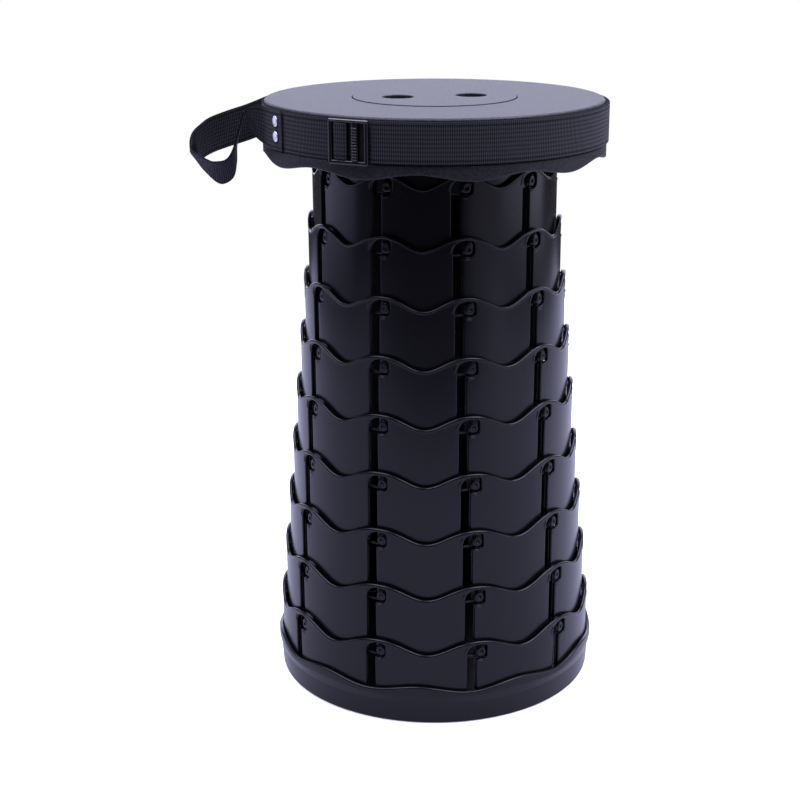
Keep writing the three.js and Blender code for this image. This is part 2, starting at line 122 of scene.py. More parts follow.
# Surfaces
@dataclass
class Draft:
    """Quads gathered from parametric grids, in millimetres, before they become one mesh."""

    points: list[Array] = field(default_factory=list)
    marks: list[Array] = field(default_factory=list)
    quads: list[Array] = field(default_factory=list)
    count: int = 0

    def grid(self, points: Array, keep: Array | None = None, marks: Array | None = None) -> None:
        """Adds a surface given as rows and columns of points; edges that meet are joined later.

        Args:
            points: rows x columns x 3 points.
            keep: which of the (rows - 1) x (columns - 1) cells are kept, or all.
            marks: rows x columns x 2 pattern coordinates in millimetres, or none.
        """
        rows, columns = points.shape[:2]
        index = self.count + np.arange(rows * columns).reshape(rows, columns)
        cells = np.stack([index[:-1, :-1], index[:-1, 1:], index[1:, 1:], index[1:, :-1]], axis=-1)
        self.points.append(points.reshape(-1, 3))
        self.marks.append(np.zeros((rows * columns, 2)) if marks is None else marks.reshape(-1, 2))
        self.quads.append(cells.reshape(-1, 4) if keep is None else cells[keep])
        self.count += rows * columns

    def piece(self, name: str) -> bpy.types.Object:
        """Joins the grids where they meet and makes one smooth mesh with its faces outward.

        Args:
            name: the new piece's name.

        Returns:
            The new object, at the origin and unturned.
        """
        points, marks = np.concatenate(self.points), np.concatenate(self.marks)
        quads = np.concatenate(self.quads)
        keys = np.round(points * WELD_STEPS_PER_MM + WELD_SHIFT).astype(np.int64)
        _, first, joined = np.unique(keys, axis=0, return_index=True, return_inverse=True)
        corners = joined.reshape(-1)[quads]
        repeats = corners == np.roll(corners, -1, axis=1)
        whole = ~repeats.any(axis=1)
        faces, sources = corners[whole].tolist(), [quads[whole].reshape(-1)]
        for side in range(4):
            pinched = repeats[:, side] & (repeats.sum(axis=1) == 1)
            rest = [k for k in range(4) if k != side]
            faces += corners[pinched][:, rest].tolist()
            sources.append(quads[pinched][:, rest].reshape(-1))
        mesh = bpy.data.meshes.new(name)
        mesh.from_pydata((points[first] * MM).tolist(), [], faces)
        layer = mesh.attributes.new("pattern", "FLOAT2", "CORNER")
        layer.data.foreach_set("vector", marks[np.concatenate(sources)].astype(np.float32).ravel())
        face_outward(mesh)
        soften(mesh)
        made = bpy.data.objects.new(name, mesh)
        bpy.context.scene.collection.objects.link(made)
        return made


def face_outward(mesh: bpy.types.Mesh) -> None:
    """Turns the faces of closed shells outward and drops points without a face.

    Args:
        mesh: the mesh to turn.
    """
    work = bmesh.new()
    work.from_mesh(mesh)
    bmesh.ops.delete(work, geom=[v for v in work.verts if not v.link_faces], context="VERTS")
    bmesh.ops.recalc_face_normals(work, faces=work.faces)
    work.to_mesh(mesh)
    work.free()


def soften(mesh: bpy.types.Mesh) -> None:
    """Shades a mesh smooth with normals weighed by face area, so that flat walls stay flat.

    Args:
        mesh: the mesh to shade.
    """
    faces = len(mesh.polygons)
    mesh.polygons.foreach_set("use_smooth", np.ones(faces, dtype=bool))
    facing, area = np.zeros(faces * 3), np.zeros(faces)
    total, vertex = np.zeros(faces, dtype=np.int32), np.zeros(len(mesh.loops), dtype=np.int32)
    for name, values in (("normal", facing), ("area", area), ("loop_total", total)):
        mesh.polygons.foreach_get(name, values)
    mesh.loops.foreach_get("vertex_index", vertex)
    summed = np.zeros((len(mesh.vertices), 3))
    np.add.at(summed, vertex, np.repeat(facing.reshape(-1, 3) * area[:, None], total, axis=0))
    mesh.normals_split_custom_set_from_vertices(unit(summed).tolist())


def unit(vectors: Array) -> Array:
    """Vectors of the same directions and of length one."""
    return vectors / np.maximum(np.linalg.norm(vectors, axis=-1, keepdims=True), LEAST_LENGTH)


def smooth_step(value: Array) -> Array:
    """Eases from 0 to 1: 3 t^2 - 2 t^3, held outside that range."""
    held = np.clip(value, 0, 1)
    return held * held * (3 - 2 * held)


def around(azimuth: Array, radius: Array, height: Array) -> Array:
    """Points on a turned surface, from values that spread together: x = r sin a, y = -r cos a, z = h."""
    azimuth, radius, height = np.broadcast_arrays(azimuth, radius, height)
    return np.stack([radius * np.sin(azimuth), -radius * np.cos(azimuth), height], axis=-1)


def filleted(corners: Sequence[tuple[float, float, float]], steps: int = 4) -> Array:
    """A closed outline whose corners are rounded by arcs that touch both sides.

    Args:
        corners: (across, up, rounding radius) for each corner, in order.
        steps: facets in each rounding.

    Returns:
        Points x 2, with the first one repeated at the end.
    """
    outline = []
    places = np.array([corner[:2] for corner in corners], dtype=float)
    share = np.linspace(0, 1, steps + 1)[:, None]
    for k, (_, _, rounding) in enumerate(corners):
        here = places[k]
        if rounding <= 0:
            outline.append(here[None])
            continue
        before, after = unit(places[k - 1] - here), unit(places[(k + 1) % len(corners)] - here)
        half = math.acos(float(np.clip(before @ after, -1, 1))) / 2
        reach = rounding / math.tan(half)
        centre = here + unit(before + after) * rounding / math.sin(half)
        start, end = here + before * reach - centre, here + after * reach - centre
        sweep = math.pi - 2 * half
        arc = (np.sin((1 - share) * sweep) * start + np.sin(share * sweep) * end) / math.sin(sweep)
        outline.append(centre + arc)
    outline.append(outline[0][:1])
    return np.concatenate(outline)


def turned(outline: Array, steps: int, ripple: tuple[float, float] | None = None) -> Array:
    """Turns an outline of radii and heights round the Z axis.

    Args:
        outline: points x 2 radii and heights.
        steps: facets in the whole turn.
        ripple: the heights where the rim's wave is none and where it is full, or no wave.

    Returns:
        Points as rows along the outline and columns round the axis.
    """
    azimuth = np.linspace(0, FULL_TURN, steps + 1)[None]
    radius, height = outline[:, :1], outline[:, 1:]
    if ripple is not None:
        height = height + SIZES.rim_wave(azimuth, height, *ripple)
    made = around(azimuth, radius, height)
    made[:, -1] = made[:, 0]
    return made


def rounded_block(size: Sequence[float], rounding: float, steps: int = 3) -> Array:
    """A block with rounded edges: a small sphere's points, each moved out to its own corner.

    Args:
        size: the three whole sizes.
        rounding: the edges' radius.
        steps: facets in each rounding.

    Returns:
        Rows x columns x 3 points about the origin.
    """
    half = np.asarray(size, dtype=float) / 2 - rounding
    quarter = np.linspace(0, RIGHT_ANGLE, steps + 1)
    turn = np.concatenate([quarter + k * RIGHT_ANGLE for k in range(4)] + [quarter[:1] + FULL_TURN])
    sides = np.append(np.repeat(np.arange(4), steps + 1), 0)
    x_sign, y_sign = np.array([1, -1, -1, 1])[sides], np.array([1, 1, -1, -1])[sides]
    rise = np.concatenate([quarter - RIGHT_ANGLE, quarter])[:, None]
    z_sign = np.repeat([-1, 1], steps + 1)[:, None]
    x = rounding * np.cos(rise) * np.cos(turn) + half[0] * x_sign
    y = rounding * np.cos(rise) * np.sin(turn) + half[1] * y_sign
    z = rounding * np.sin(rise) + half[2] * z_sign + np.zeros_like(turn)
    body = np.stack([x, y, z], axis=-1)
    low, high = np.zeros_like(body[:1]), np.zeros_like(body[:1])
    low[..., 2], high[..., 2] = body[0, 0, 2], body[-1, 0, 2]
    return np.concatenate([low, body, high])


def on_wall(points: Array, azimuth: float, radius: float, height: float) -> Array:
    """Places points drawn flat (x along the wall, y up, z outwards) on a wall.

    Args:
        points: points with a last axis of three.
        azimuth: where on the wall, in radians.
        radius: the wall's radius.
        height: the height of the points' origin.

    Returns:
        The placed points.
    """
    along, up = np.array([math.cos(azimuth), math.sin(azimuth), 0]), np.array([0, 0, 1])
    out = np.array([math.sin(azimuth), -math.cos(azimuth), 0])
    return out * radius + up * height + points @ np.stack([along, up, out])


# Finishes
def linear(hex_colour: str) -> tuple[float, float, float, float]:
    """Turns an sRGB hex colour into linear light by the standard's own curve.

    Args:
        hex_colour: six hex digits.

    Returns:
        Red, green, blue and alpha of 1.
    """
    parts = [int(hex_colour[k : k + 2], 16) / 255 for k in (0, 2, 4)]
    light = [c / 12.92 if c <= 0.04045 else ((c + 0.055) / 1.055) ** 2.4 for c in parts]
    return (light[0], light[1], light[2], 1.0)


def add_node(
    tree: bpy.types.NodeTree,
    kind: str,
    inputs: dict | None = None,
    output: int | str = 0,
    **settings: object,
) -> bpy.types.NodeSocket | None:
    """Adds a node, sets it, and links or sets its inputs.

    Args:
        tree: the node tree.
        kind: the node's type name after ShaderNode.
        inputs: for each input's name or number, a socket to link or a value.
        output: the name or number of the output to give back.
        settings: the node's own settings.

    Returns:
        That output, or none where the node has no outputs.
    """
    made = tree.nodes.new("ShaderNode" + kind)
    for key, value in settings.items():
        setattr(made, key, value)
    for key, value in (inputs or {}).items():
        if isinstance(value, bpy.types.NodeSocket):
            tree.links.new(value, made.inputs[key])
        else:
            made.inputs[key].default_value = value
    return made.outputs[output] if len(made.outputs) else None


def make_material(name: str, recipe: Callable[[bpy.types.NodeTree], dict]) -> bpy.types.Material:
    """Makes a material with one main shader.

    Args:
        name: the material's name.
        recipe: adds the nodes before the shader to a tree and gives the shader's inputs.

    Returns:
        The material.
    """
    material = bpy.data.materials.new(name)
    material.use_nodes = True
    tree = material.node_tree
    tree.nodes.clear()
    shader = add_node(tree, "BsdfPrincipled", recipe(tree))
    add_node(tree, "OutputMaterial", {"Surface": shader})
    return material


@dataclass(frozen=True)
class Plastic:
    """Moulded plastic: its colours, gloss and fine grain. Lengths are millimetres."""

    name: str
    colour: str
    fleck: str
    roughness: float
    grain: float
    relief: float
    specular: float = 0.5
    side_roughness: float | None = None
    contrast: float = 1.0
    octaves: float = 2.0
    fineness: float = 0.6

    def inputs(self, tree: bpy.types.NodeTree) -> dict:
        """Noise at the grain's size tints the plastic and raises a slight relief.

        Upright sides may have a roughness of their own, as they leave the mould differently.

        Args:
            tree: the material's node tree.

        Returns:
            The main shader's inputs.
        """
        noise = {"Scale": 1 / (self.grain * MM), "Detail": self.octaves, "Roughness": self.fineness}
        noise["Vector"] = add_node(tree, "TexCoord", output="Object")
        fine = add_node(tree, "TexNoise", noise)
        spread = {0: fine, 1: self.contrast, 2: (1 - self.contrast) / 2}
        share = add_node(tree, "Math", spread, operation="MULTIPLY_ADD")
        tint = {"Factor": share, MIX_FIRST: linear(self.colour), MIX_SECOND: linear(self.fleck)}
        roughness: object = self.roughness
        if self.side_roughness is not None:
            facing = add_node(tree, "NewGeometry", output="Normal")
            upward = add_node(tree, "SeparateXYZ", {0: facing}, "Z")
            level = add_node(tree, "Math", {0: upward}, operation="ABSOLUTE")
            mix = {0: level, 1: self.roughness - self.side_roughness, 2: self.side_roughness}
            roughness = add_node(tree, "Math", mix, operation="MULTIPLY_ADD")
        bump = {"Strength": 1.0, "Distance": self.relief * MM, "Height": fine}
        return {
            "Base Color": add_node(tree, "Mix", tint, MIX_COLOUR, data_type="RGBA"),
            "Roughness": roughness,
            "Specular IOR Level": self.specular,
            "Normal": add_node(tree, "Bump", bump),
        }


@dataclass(frozen=True)
class Woven:
    """Woven webbing: cords along its length, crossed by finer weft. Lengths are millimetres."""

    name: str
    colour: str
    # The darkest colour, in the hollows, on the edges and on the groove: painted shade
    groove: str
    cord: float
    weft: float
    relief: float
    roughness: float
    sheen: float
    specular: float
    sheen_roughness: float = 0.5
    weft_share: float = 0.7
    contrast: float = 1.5
    line_inset: float = 2.3
    line_width: float = 2.0
    line_floor: float = 0.6

    def inputs(self, tree: bpy.types.NodeTree) -> dict:
        """Two crossed rows of ridges, and a line in each edge, raise the webbing's relief and paint shade
        into its tint.

        Args:
            tree: the material's node tree.

        Returns:
            The main shader's inputs.
        """
        pattern = add_node(tree, "Attribute", output="Vector", attribute_name="pattern")
        along, across = add_node(tree, "SeparateXYZ", {0: pattern}).node.outputs[:2]
        cords = {0: self.ridge(tree, across, self.cord), 1: 1 - self.weft_share}
        wefts = {0: self.ridge(tree, along, self.weft), 1: self.weft_share}
        wefts[2] = add_node(tree, "Math", cords, operation="MULTIPLY")
        woven = add_node(tree, "Math", wefts, operation="MULTIPLY_ADD")
        height = {0: woven, 1: self.off_edge(tree, across)}
        raised = add_node(tree, "Math", height, operation="MULTIPLY")
        shine = add_node(tree, "Math", {0: raised, 1: self.contrast}, operation="POWER")
        # Painted shade: the colour darkens into the hollows between ridges, at each edge and on its groove,
        # and the gloss and sheen dim there too
        tint = {"Factor": shine, MIX_FIRST: linear(self.groove), MIX_SECOND: linear(self.colour)}
        gloss = add_node(tree, "Math", {0: shine, 1: self.specular}, operation="MULTIPLY")
        sheen = add_node(tree, "Math", {0: shine, 1: self.sheen}, operation="MULTIPLY")
        bump = {"Strength": 1.0, "Distance": self.relief * MM, "Height": raised}
        return {
            "Base Color": add_node(tree, "Mix", tint, MIX_COLOUR, data_type="RGBA"),
            "Roughness": self.roughness,
            "Specular IOR Level": gloss,
            "Sheen Weight": sheen,
            "Sheen Roughness": self.sheen_roughness,
            "Normal": add_node(tree, "Bump", bump),
        }

    def off_edge(self, tree: bpy.types.NodeTree, across: bpy.types.NodeSocket) -> bpy.types.NodeSocket:
        """Factors up to 1 that fall at each woven edge and on the groove inside it, where they lower the
        relief and paint shade.

        Args:
            tree: the material's node tree.
            across: millimetres across the width.

        Returns:
            The smaller distance, from the edge or from the groove, over the line's width, plus a floor.
        """
        inset = add_node(tree, "Math", {0: across, 1: SIZES.webbing_width / 2}, operation="PINGPONG")
        signed = add_node(tree, "Math", {0: inset, 1: self.line_inset}, operation="SUBTRACT")
        away = add_node(tree, "Math", {0: signed}, operation="ABSOLUTE")
        nearest = add_node(tree, "Math", {0: away, 1: inset}, operation="MINIMUM")
        scaled = {0: nearest, 1: 1 / self.line_width, 2: self.line_floor}
        raised = add_node(tree, "Math", scaled, operation="MULTIPLY_ADD")
        return add_node(tree, "Math", {0: raised, 1: 1.0}, operation="MINIMUM")

    @staticmethod
    def ridge(tree: bpy.types.NodeTree, run: bpy.types.NodeSocket, pitch: float) -> bpy.types.NodeSocket:
        """A row of rounded ridges from 0 to 1: the absolute sine of half a turn for each one.

        Args:
            tree: the material's node tree.
            run: millimetres across the ridges.
            pitch: millimetres from ridge to ridge.

        Returns:
            The ridges' heights.
        """
        turn = add_node(tree, "Math", {0: run, 1: math.pi / pitch}, operation="MULTIPLY")
        wave = add_node(tree, "Math", {0: turn}, operation="SINE")
        return add_node(tree, "Math", {0: wave}, operation="ABSOLUTE")


@dataclass(frozen=True)
class Metal:
    """Plated metal."""

    name: str
    colour: str
    roughness: float

    def inputs(self, _: bpy.types.NodeTree) -> dict:
        """The main shader's inputs: a plain metal."""
        return {"Base Color": linear(self.colour), "Metallic": 1.0, "Roughness": self.roughness}


class Finish(Enum):
    """The stool's finishes, with the record's slot for each."""

    # Satin moulded polypropylene: soft long highlights on the beads and an even blue-black wall. Its
    # faint unevenness is drawn at 0.7 mm, coarser than a polished mould leaves, so that it shows.
    RINGS = ("ring_plastic", Plastic("PP_blue_black_satin", "0b0b0e", "0e0e12", 0.24, 0.7, 0.006, 0.25))
    # Polypropylene from a spark-eroded mould: a dull grey with fine dark and pale flecks. The grain is
    # drawn at 1.8 mm, coarser than the real one, so that it shows.
    SEAT = (
        "seat_plastic",
        Plastic("PP_dark_grey_fine_grain", "050506", "1c1c22", 0.5, 1.8, 0.35, 0.34, 0.64, 4.0),
    )
    # Glossy moulded acetal: deep black with small sharp highlights on its edges. Its unevenness is
    # drawn at 0.8 mm, as that of the rings is.
    SLIDER = ("slider_plastic", Plastic("acetal_black_gloss", "0a0a0c", "0d0d0f", 0.27, 0.8, 0.003))
    # Woven polyester: matt dark ribs across the width, with a groove inside each edge. The hollows between
    # the ribs, the edges and the grooves are darkened with painted shade. Its cords and weft are drawn at
    # 2.85 and 1.5 mm, coarser than the real threads, so that they show.
    WEBBING = (
        "webbing",
        Woven("polyester_webbing_black", "3e3e42", "0a0a0c", 2.85, 1.5, 0.22, 0.8, 0.08, 0.1),
    )
    # Nickel-plated steel, tumbled: a pale mirror that blurs the lamps
    RIVET = ("rivet_metal", Metal("nickel_plated_steel", "e6e6ea", 0.42))


FINISHES: dict[Finish, bpy.types.Material] = {}


def dress(piece: bpy.types.Object, finish: Finish, body: str, node: str) -> bpy.types.Object:
    """Gives a piece its finish and its body, and hides the CAD node that it replaces.

    Args:
        piece: the new piece.
        finish: its finish.
        body: the CAD body that it moves with.
        node: the CAD node that it replaces.

    Returns:
        The same piece.
    """
    slot, recipe = finish.value
    if finish not in FINISHES:
        FINISHES[finish] = make_material(recipe.name, recipe.inputs)
    piece.data.materials.append(FINISHES[finish])
    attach(piece, body)
    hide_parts(node)
    return piece


# Rings
@dataclass(frozen=True)
class LockSlot:
    """The lock slot under each crest, measured from the crest along the wall and downwards."""

    left: float = -8.6
    right: float = -1.4
    pocket_right: float = 6.9
    hoop: float = 1.8
    floor: float = -14.4
    floor_corner: float = 4.0
    arch_top: float = -2.6
    arch_foot: float = -10.5
    arch_middle: float = 0.9
    arch_power: float = 2.15
    end_drop: float = 0.85
    end_corner: float = 1.5
    edge: float = 0.8
    edge_points: int = 4
    least_mitre: float = 0.7
    settle: float = 6.0


@dataclass(frozen=True)
class LockPin:
    """The lock pin seen in a pocket: an egg with a dimple, drawn on the outer ring's wall."""

    middle: float = 2.6
    height: float = -8.9
    half_width: float = 3.7
    half_height: float = 4.3
    narrowing: float = 0.16
    power: float = 2.3
    depths: tuple[float, ...] = (4.5, 2.7, 2.6, 2.2, 1.55, 1.15, 0.95, 0.9, 0.95, 1.25, 2.0, 2.2)
    shares: tuple[float, ...] = (1.2, 1.2, 1.0, 1.0, 0.95, 0.86, 0.72, 0.54, 0.42, 0.34, 0.26, 0.0)
    steps: int = 28


@dataclass(frozen=True)
class Rail:
    """The rails on a ring's inner wall, each side of the channel, and the sill at the pocket's floor."""

    sides: tuple[tuple[float, float], ...] = ((-10.9, -8.5), (-2.0, 0.2))
    depth: float = 3.5
    top: float = -14.6
    rounding: float = 0.35
    root: float = 0.2
    sill: tuple[float, float] = (0.4, 6.2)
    sill_foot: float = -15.4
    sill_top: float = -13.5
    sill_depth: float = 2.8


@dataclass(frozen=True)
class Lip:
    """The top edge's section: a round bead, a little thicker than the wall."""

    height: float = 1.7
    bead: float = 1.45
    points: int = 15

    def section(self, wall: float) -> tuple[Array, Array]:
        """The bead's arc from the outer face, over the top, to the inner face.

        Args:
            wall: the wall's thickness.

        Returns:
            Heights above the grid's last row, and depths under the outer face.
        """
        start = math.acos(wall / 2 / self.bead)
        turn = np.linspace(-start, math.pi + start, self.points)
        reach = np.concatenate([[0.0], self.height - self.bead + self.bead * np.sin(turn), [0.0]])
        depth = np.concatenate([[0.0], wall / 2 - self.bead * np.cos(turn), [wall]])
        return np.maximum(reach, 0.0), depth


@dataclass(frozen=True)
class Bead:
    """The low bead at the upper left of a pocket's arch, and the shorter one under its floor."""

    width: float = 1.5
    rise: float = 0.45
    root: float = 0.25
    offset: float = 1.0
    top: float = -3.6
    floor_low: float = -0.6
    floor_high: float = 3.9
    fade_power: float = 6
    points: int = 9

    def section(self) -> tuple[Array, Array]:
        """Half an ellipse, closed by a chord sunk in the wall.

        Returns:
            Places across the bead and depths under the wall's face.
        """
        turn = np.linspace(0, math.pi, self.points)
        across = self.width / 2 * np.cos(turn)
        depth = self.root - (self.rise + self.root) * np.sin(turn)
        return np.append(across, across[0]), np.append(depth, depth[0])


@dataclass(frozen=True)
class RingWall:
    """One tube's wall with its wavy top edge, lock slots, rails and pins, drawn into a draft."""

    number: int
    draft: Draft
    slot: LockSlot = LockSlot()
    pin: LockPin = LockPin()
    rail: Rail = Rail()
    lip: Lip = Lip()
    bead: Bead = Bead()
    floor_cells: int = 3
    arch_cells: int = 5
    top_cells: int = 2
    arch_columns: int = 9
    pocket_columns: int = 10
    plain_step: float = 2.6

    def columns(self) -> tuple[Array, int, int, int]:
        """Places of the grid's columns over one wave, along the wall from the crest.

        Returns:
            The places, and the numbers of the columns at the channel's two sides and the pocket's end.
        """
        slot = self.slot
        period = FULL_TURN * SIZES.ring_radius(self.number) / SIZES.waves
        left, right = slot.left - slot.edge, slot.right + slot.edge
        end = slot.pocket_right + slot.edge
        width = slot.arch_middle - left
        lean = math.asin((slot.arch_middle - right) / width)
        arch = slot.arch_middle - width * np.sin(np.linspace(RIGHT_ANGLE, lean, self.arch_columns))
        pocket = right + (end - right) * np.sin(np.linspace(0, RIGHT_ANGLE, self.pocket_columns))
        before = np.linspace(-period / 2, left, int((left + period / 2) / self.plain_step) + 2)
        after = np.linspace(end, period / 2, int((period / 2 - end) / self.plain_step) + 2)
        places = np.concatenate([before[:-1], arch, pocket[1:], after[1:]])
        first = len(before) - 1
        return places, first, first + len(arch) - 1, first + len(arch) + len(pocket) - 2

    def levels(self, along: Array) -> Array:
        """Heights of the grid's rows under the crest: foot, hoop, pocket floor, arch and top edge.

        The floor ends in a quarter circle. The arch is a superellipse, then a slow parabola with a
        quarter circle at its end. Beside the slot both settle to plain levels.

        Args:
            along: the columns' places.

        Returns:
            Rows x columns heights.
        """
        slot = self.slot
        foot = -SIZES.height + slot.edge
        hoop = -SIZES.height + slot.hoop - slot.edge
        top = SIZES.crest_wave(along, SIZES.ring_radius(self.number)) - self.lip.height
        left, end = slot.left - slot.edge, slot.pocket_right + slot.edge
        base = slot.floor - slot.edge
        corner = slot.floor_corner + slot.edge
        inside = np.clip(along - (end - corner), 0, corner)
        rise = corner - np.sqrt(corner**2 - inside**2)
        floor = base + rise * (1 - smooth_step((along - end) / slot.settle))
        width, height = slot.arch_middle - left, slot.arch_top + slot.edge - slot.arch_foot
        share = np.clip((slot.arch_middle - along) / width, 0, 1)
        crown = slot.arch_foot + height * (1 - share**slot.arch_power) ** (1 / slot.arch_power)
        slope = np.clip((along - slot.arch_middle) / (end - slot.arch_middle), 0, 1)
        crown = crown - slot.end_drop * slope**2
        turn = slot.end_corner + slot.edge
        past = np.clip(along - (end - turn), 0, turn)
        crown = crown - (turn - np.sqrt(turn**2 - past**2))
        away = np.maximum(left - along, along - end)
        arch = crown + ((base + top) / 2 - crown) * smooth_step(away / slot.settle)
        rows = [np.full_like(along, foot)]
        rows += [hoop + (floor - hoop) * k / self.floor_cells for k in range(self.floor_cells)]
        rows += [floor + (arch - floor) * k / self.arch_cells for k in range(self.arch_cells)]
        rows += [arch + (top - arch) * k / self.top_cells for k in range(self.top_cells + 1)]
        return np.stack(rows)

    def put(self, along: Array, height: Array, depth: Array | float, keep: Array | None = None) -> None:
        """Wraps a surface given on the unrolled wall round the ring, once for each crest.

        Args:
            along: distances along the wall from the crest.
            height: heights from the crest.
            depth: depths under the outer face.
            keep: which of its cells are kept, or all.
        """
        radius, crest = SIZES.ring_radius(self.number), SIZES.ring_crest(self.number)
        for wave in range(SIZES.waves):
            azimuth = SIZES.ring_azimuth(self.number) + FULL_TURN * wave / SIZES.waves
            self.draft.grid(around(azimuth + along / radius, radius - depth, crest + height), keep)

    def rim(self) -> tuple[Array, Array]:
        """The rounded section of every cut edge: a quarter circle, the wall and a quarter circle.

        Returns:
            The steps' reach past the grid's edge and their depth.
        """
        turn = np.linspace(0, RIGHT_ANGLE, self.slot.edge_points)
        reach, depth = self.slot.edge * np.sin(turn), self.slot.edge * (1 - np.cos(turn))
        return np.concatenate([reach, reach[::-1]]), np.concatenate([depth, SIZES.wall - depth[::-1]])

    def build(self) -> None:
        """Draws the whole ring: both faces, every rounded edge, beads, rails and sills."""
        along, left, right, end = self.columns()
        levels = self.levels(along)
        hoop, floor = 1, 1 + self.floor_cells
        arch = floor + self.arch_cells
        keep = np.ones((levels.shape[0] - 1, len(along) - 1), dtype=bool)
        keep[hoop:arch, left:right] = False
        keep[floor:arch, right:end] = False
        for depth in (0.0, SIZES.wall):
            self.put(along, levels, depth, keep)
        ends = ((levels[0], -1, self.rim()), (levels[-1], 1, self.lip.section(SIZES.wall)))
        for level, way, (reach, depth) in ends:
            self.put(along, level + way * reach[:, None], depth[:, None])
        self.add_hole(along, levels, (left, right, end), (hoop, floor, arch))
        self.add_rails()

    def add_hole(self, along: Array, levels: Array, columns: Sequence[int], rows: Sequence[int]) -> None:
        """Adds the lock slots' rounded edges, moved inwards along the outline's normals, and their beads.

        Args:
            along: the columns' places.
            levels: the rows' heights.
            columns: the channel's sides and the pocket's end.
            rows: the hoop's, the floor's and the arch's rows.
        """
        left, right, end = columns
        hoop, floor, arch = rows
        path = [(r, left) for r in range(hoop, arch)]
        path += [(arch, c) for c in range(left, end)]
        path += [(r, end) for r in range(arch, floor, -1)]
        path += [(floor, c) for c in range(end, right, -1)]
        path += [(r, right) for r in range(floor, hoop, -1)]
        path += [(hoop, c) for c in range(right, left, -1)]
        row, column = np.array(path).T
        outline = np.stack([along[column], levels[row, column]], axis=-1)
        before = unit(outline - np.roll(outline, 1, axis=0))
        tangent = unit(before + unit(np.roll(outline, -1, axis=0) - outline))
        inward = np.stack([tangent[:, 1], -tangent[:, 0]], axis=-1)
        mitre = 1 / np.maximum(np.abs(np.sum(before * tangent, axis=1)), self.slot.least_mitre)
        reach, depth = self.rim()
        moved = outline + reach[:, None, None] * (inward * mitre[:, None])
        moved = np.concatenate([moved, moved[:, :1]], axis=1)
        self.put(moved[..., 0], moved[..., 1], depth[:, None])
        first, bead = arch - hoop, self.bead
        over = slice(first - 1, first + int(np.sum(levels[arch, left:right] < bead.top)))
        self.add_bead(outline[over], inward[over])
        under = np.full(bead.points, self.slot.floor - self.slot.edge)
        flat = np.stack([np.linspace(bead.floor_low, bead.floor_high, bead.points), under], axis=-1)
        self.add_bead(flat, np.broadcast_to([0.0, 1.0], flat.shape))

    def add_bead(self, path: Array, inward: Array) -> None:
        """Adds a low bead outside a stretch of each lock slot's outline, thinning out at both ends.

        Args:
            path: points x 2 of the outline.
            inward: the outline's unit normals into the slot.
        """
        across, depth = self.bead.section()
        run = np.linspace(0, 1, len(path))
        full = np.sqrt(np.clip(1 - np.abs(2 * run - 1) ** self.bead.fade_power, 0, 1))
        centre = path - inward * self.bead.offset
        points = centre + across[:, None, None] * full[:, None] * inward
        self.put(points[..., 0], points[..., 1], self.bead.root + (depth[:, None] - self.bead.root) * full)

    def add_rails(self) -> None:
        """Adds the two rails beside each channel, and the sill that closes the gap under its pin."""
        rail, foot = self.rail, -SIZES.height + self.slot.hoop
        start = SIZES.wall - rail.root
        bars = [(side, foot, rail.top, rail.depth) for side in rail.sides]
        bars.append((rail.sill, rail.sill_foot, rail.sill_top, rail.sill_depth))
        for (low, high), bottom, top, depth in bars:
            block = rounded_block((high - low, top - bottom, depth - start), rail.rounding)
            block = block + np.array([(low + high) / 2, (top + bottom) / 2, (depth + start) / 2])
            self.put(block[..., 0], block[..., 1], block[..., 2])

    def add_pins(self) -> None:
        """Adds the pins that sit in this ring's pockets, to the next smaller tube's draft."""
        pin = self.pin
        turn = np.linspace(0, FULL_TURN, pin.steps + 1)
        waves = np.stack([np.cos(turn), np.sin(turn)])
        across, up = np.sign(waves) * np.abs(waves) ** (2 / pin.power)
        across = across * (1 - pin.narrowing * up)
        share, depth = np.array(pin.shares)[:, None], np.array(pin.depths)[:, None]
        along = pin.middle + pin.half_width * share * across
        self.put(along, pin.height + pin.half_height * share * up, depth)


@dataclass(frozen=True)
class Column:
    """The nine rings and the seat's spigot, a plain tube."""

    spigot_edge: float = 0.6
    spigot_edge_steps: int = 3
    spigot_steps: int = 180

    def spigot(self) -> Array:
        """The plain tube under the seat.

        Returns:
            Points as rows and columns.
        """
        outer = SIZES.ring_radius(0)
        inner, top = outer - SIZES.wall, SIZES.seat_underside - SIZES.fit_gap
        foot, edge = SIZES.ring_foot(0), self.spigot_edge
        outline = [(inner, foot, edge), (outer, foot, edge), (outer, top, edge), (inner, top, edge)]
        return turned(filleted(outline, self.spigot_edge_steps), self.spigot_steps)

    def build(self) -> list[bpy.types.Object]:
        """Builds every tube on its own body.

        Returns:
            The new pieces.
        """
        made = []
        for number in (*range(1, SIZES.rings + 1), 0):
            draft = Draft()
            if number:
                RingWall(number, draft).build()
                name, body = f"ring_{number}", "base" if number == SIZES.rings else f"stage_{number}"
            else:
                draft.grid(self.spigot())
                name, body = "seat_spigot", "seat"
            if number < SIZES.rings:
                RingWall(number + 1, draft).add_pins()
            made.append(dress(draft.piece(f"{name}_wall"), Finish.RINGS, body, name))
        return made


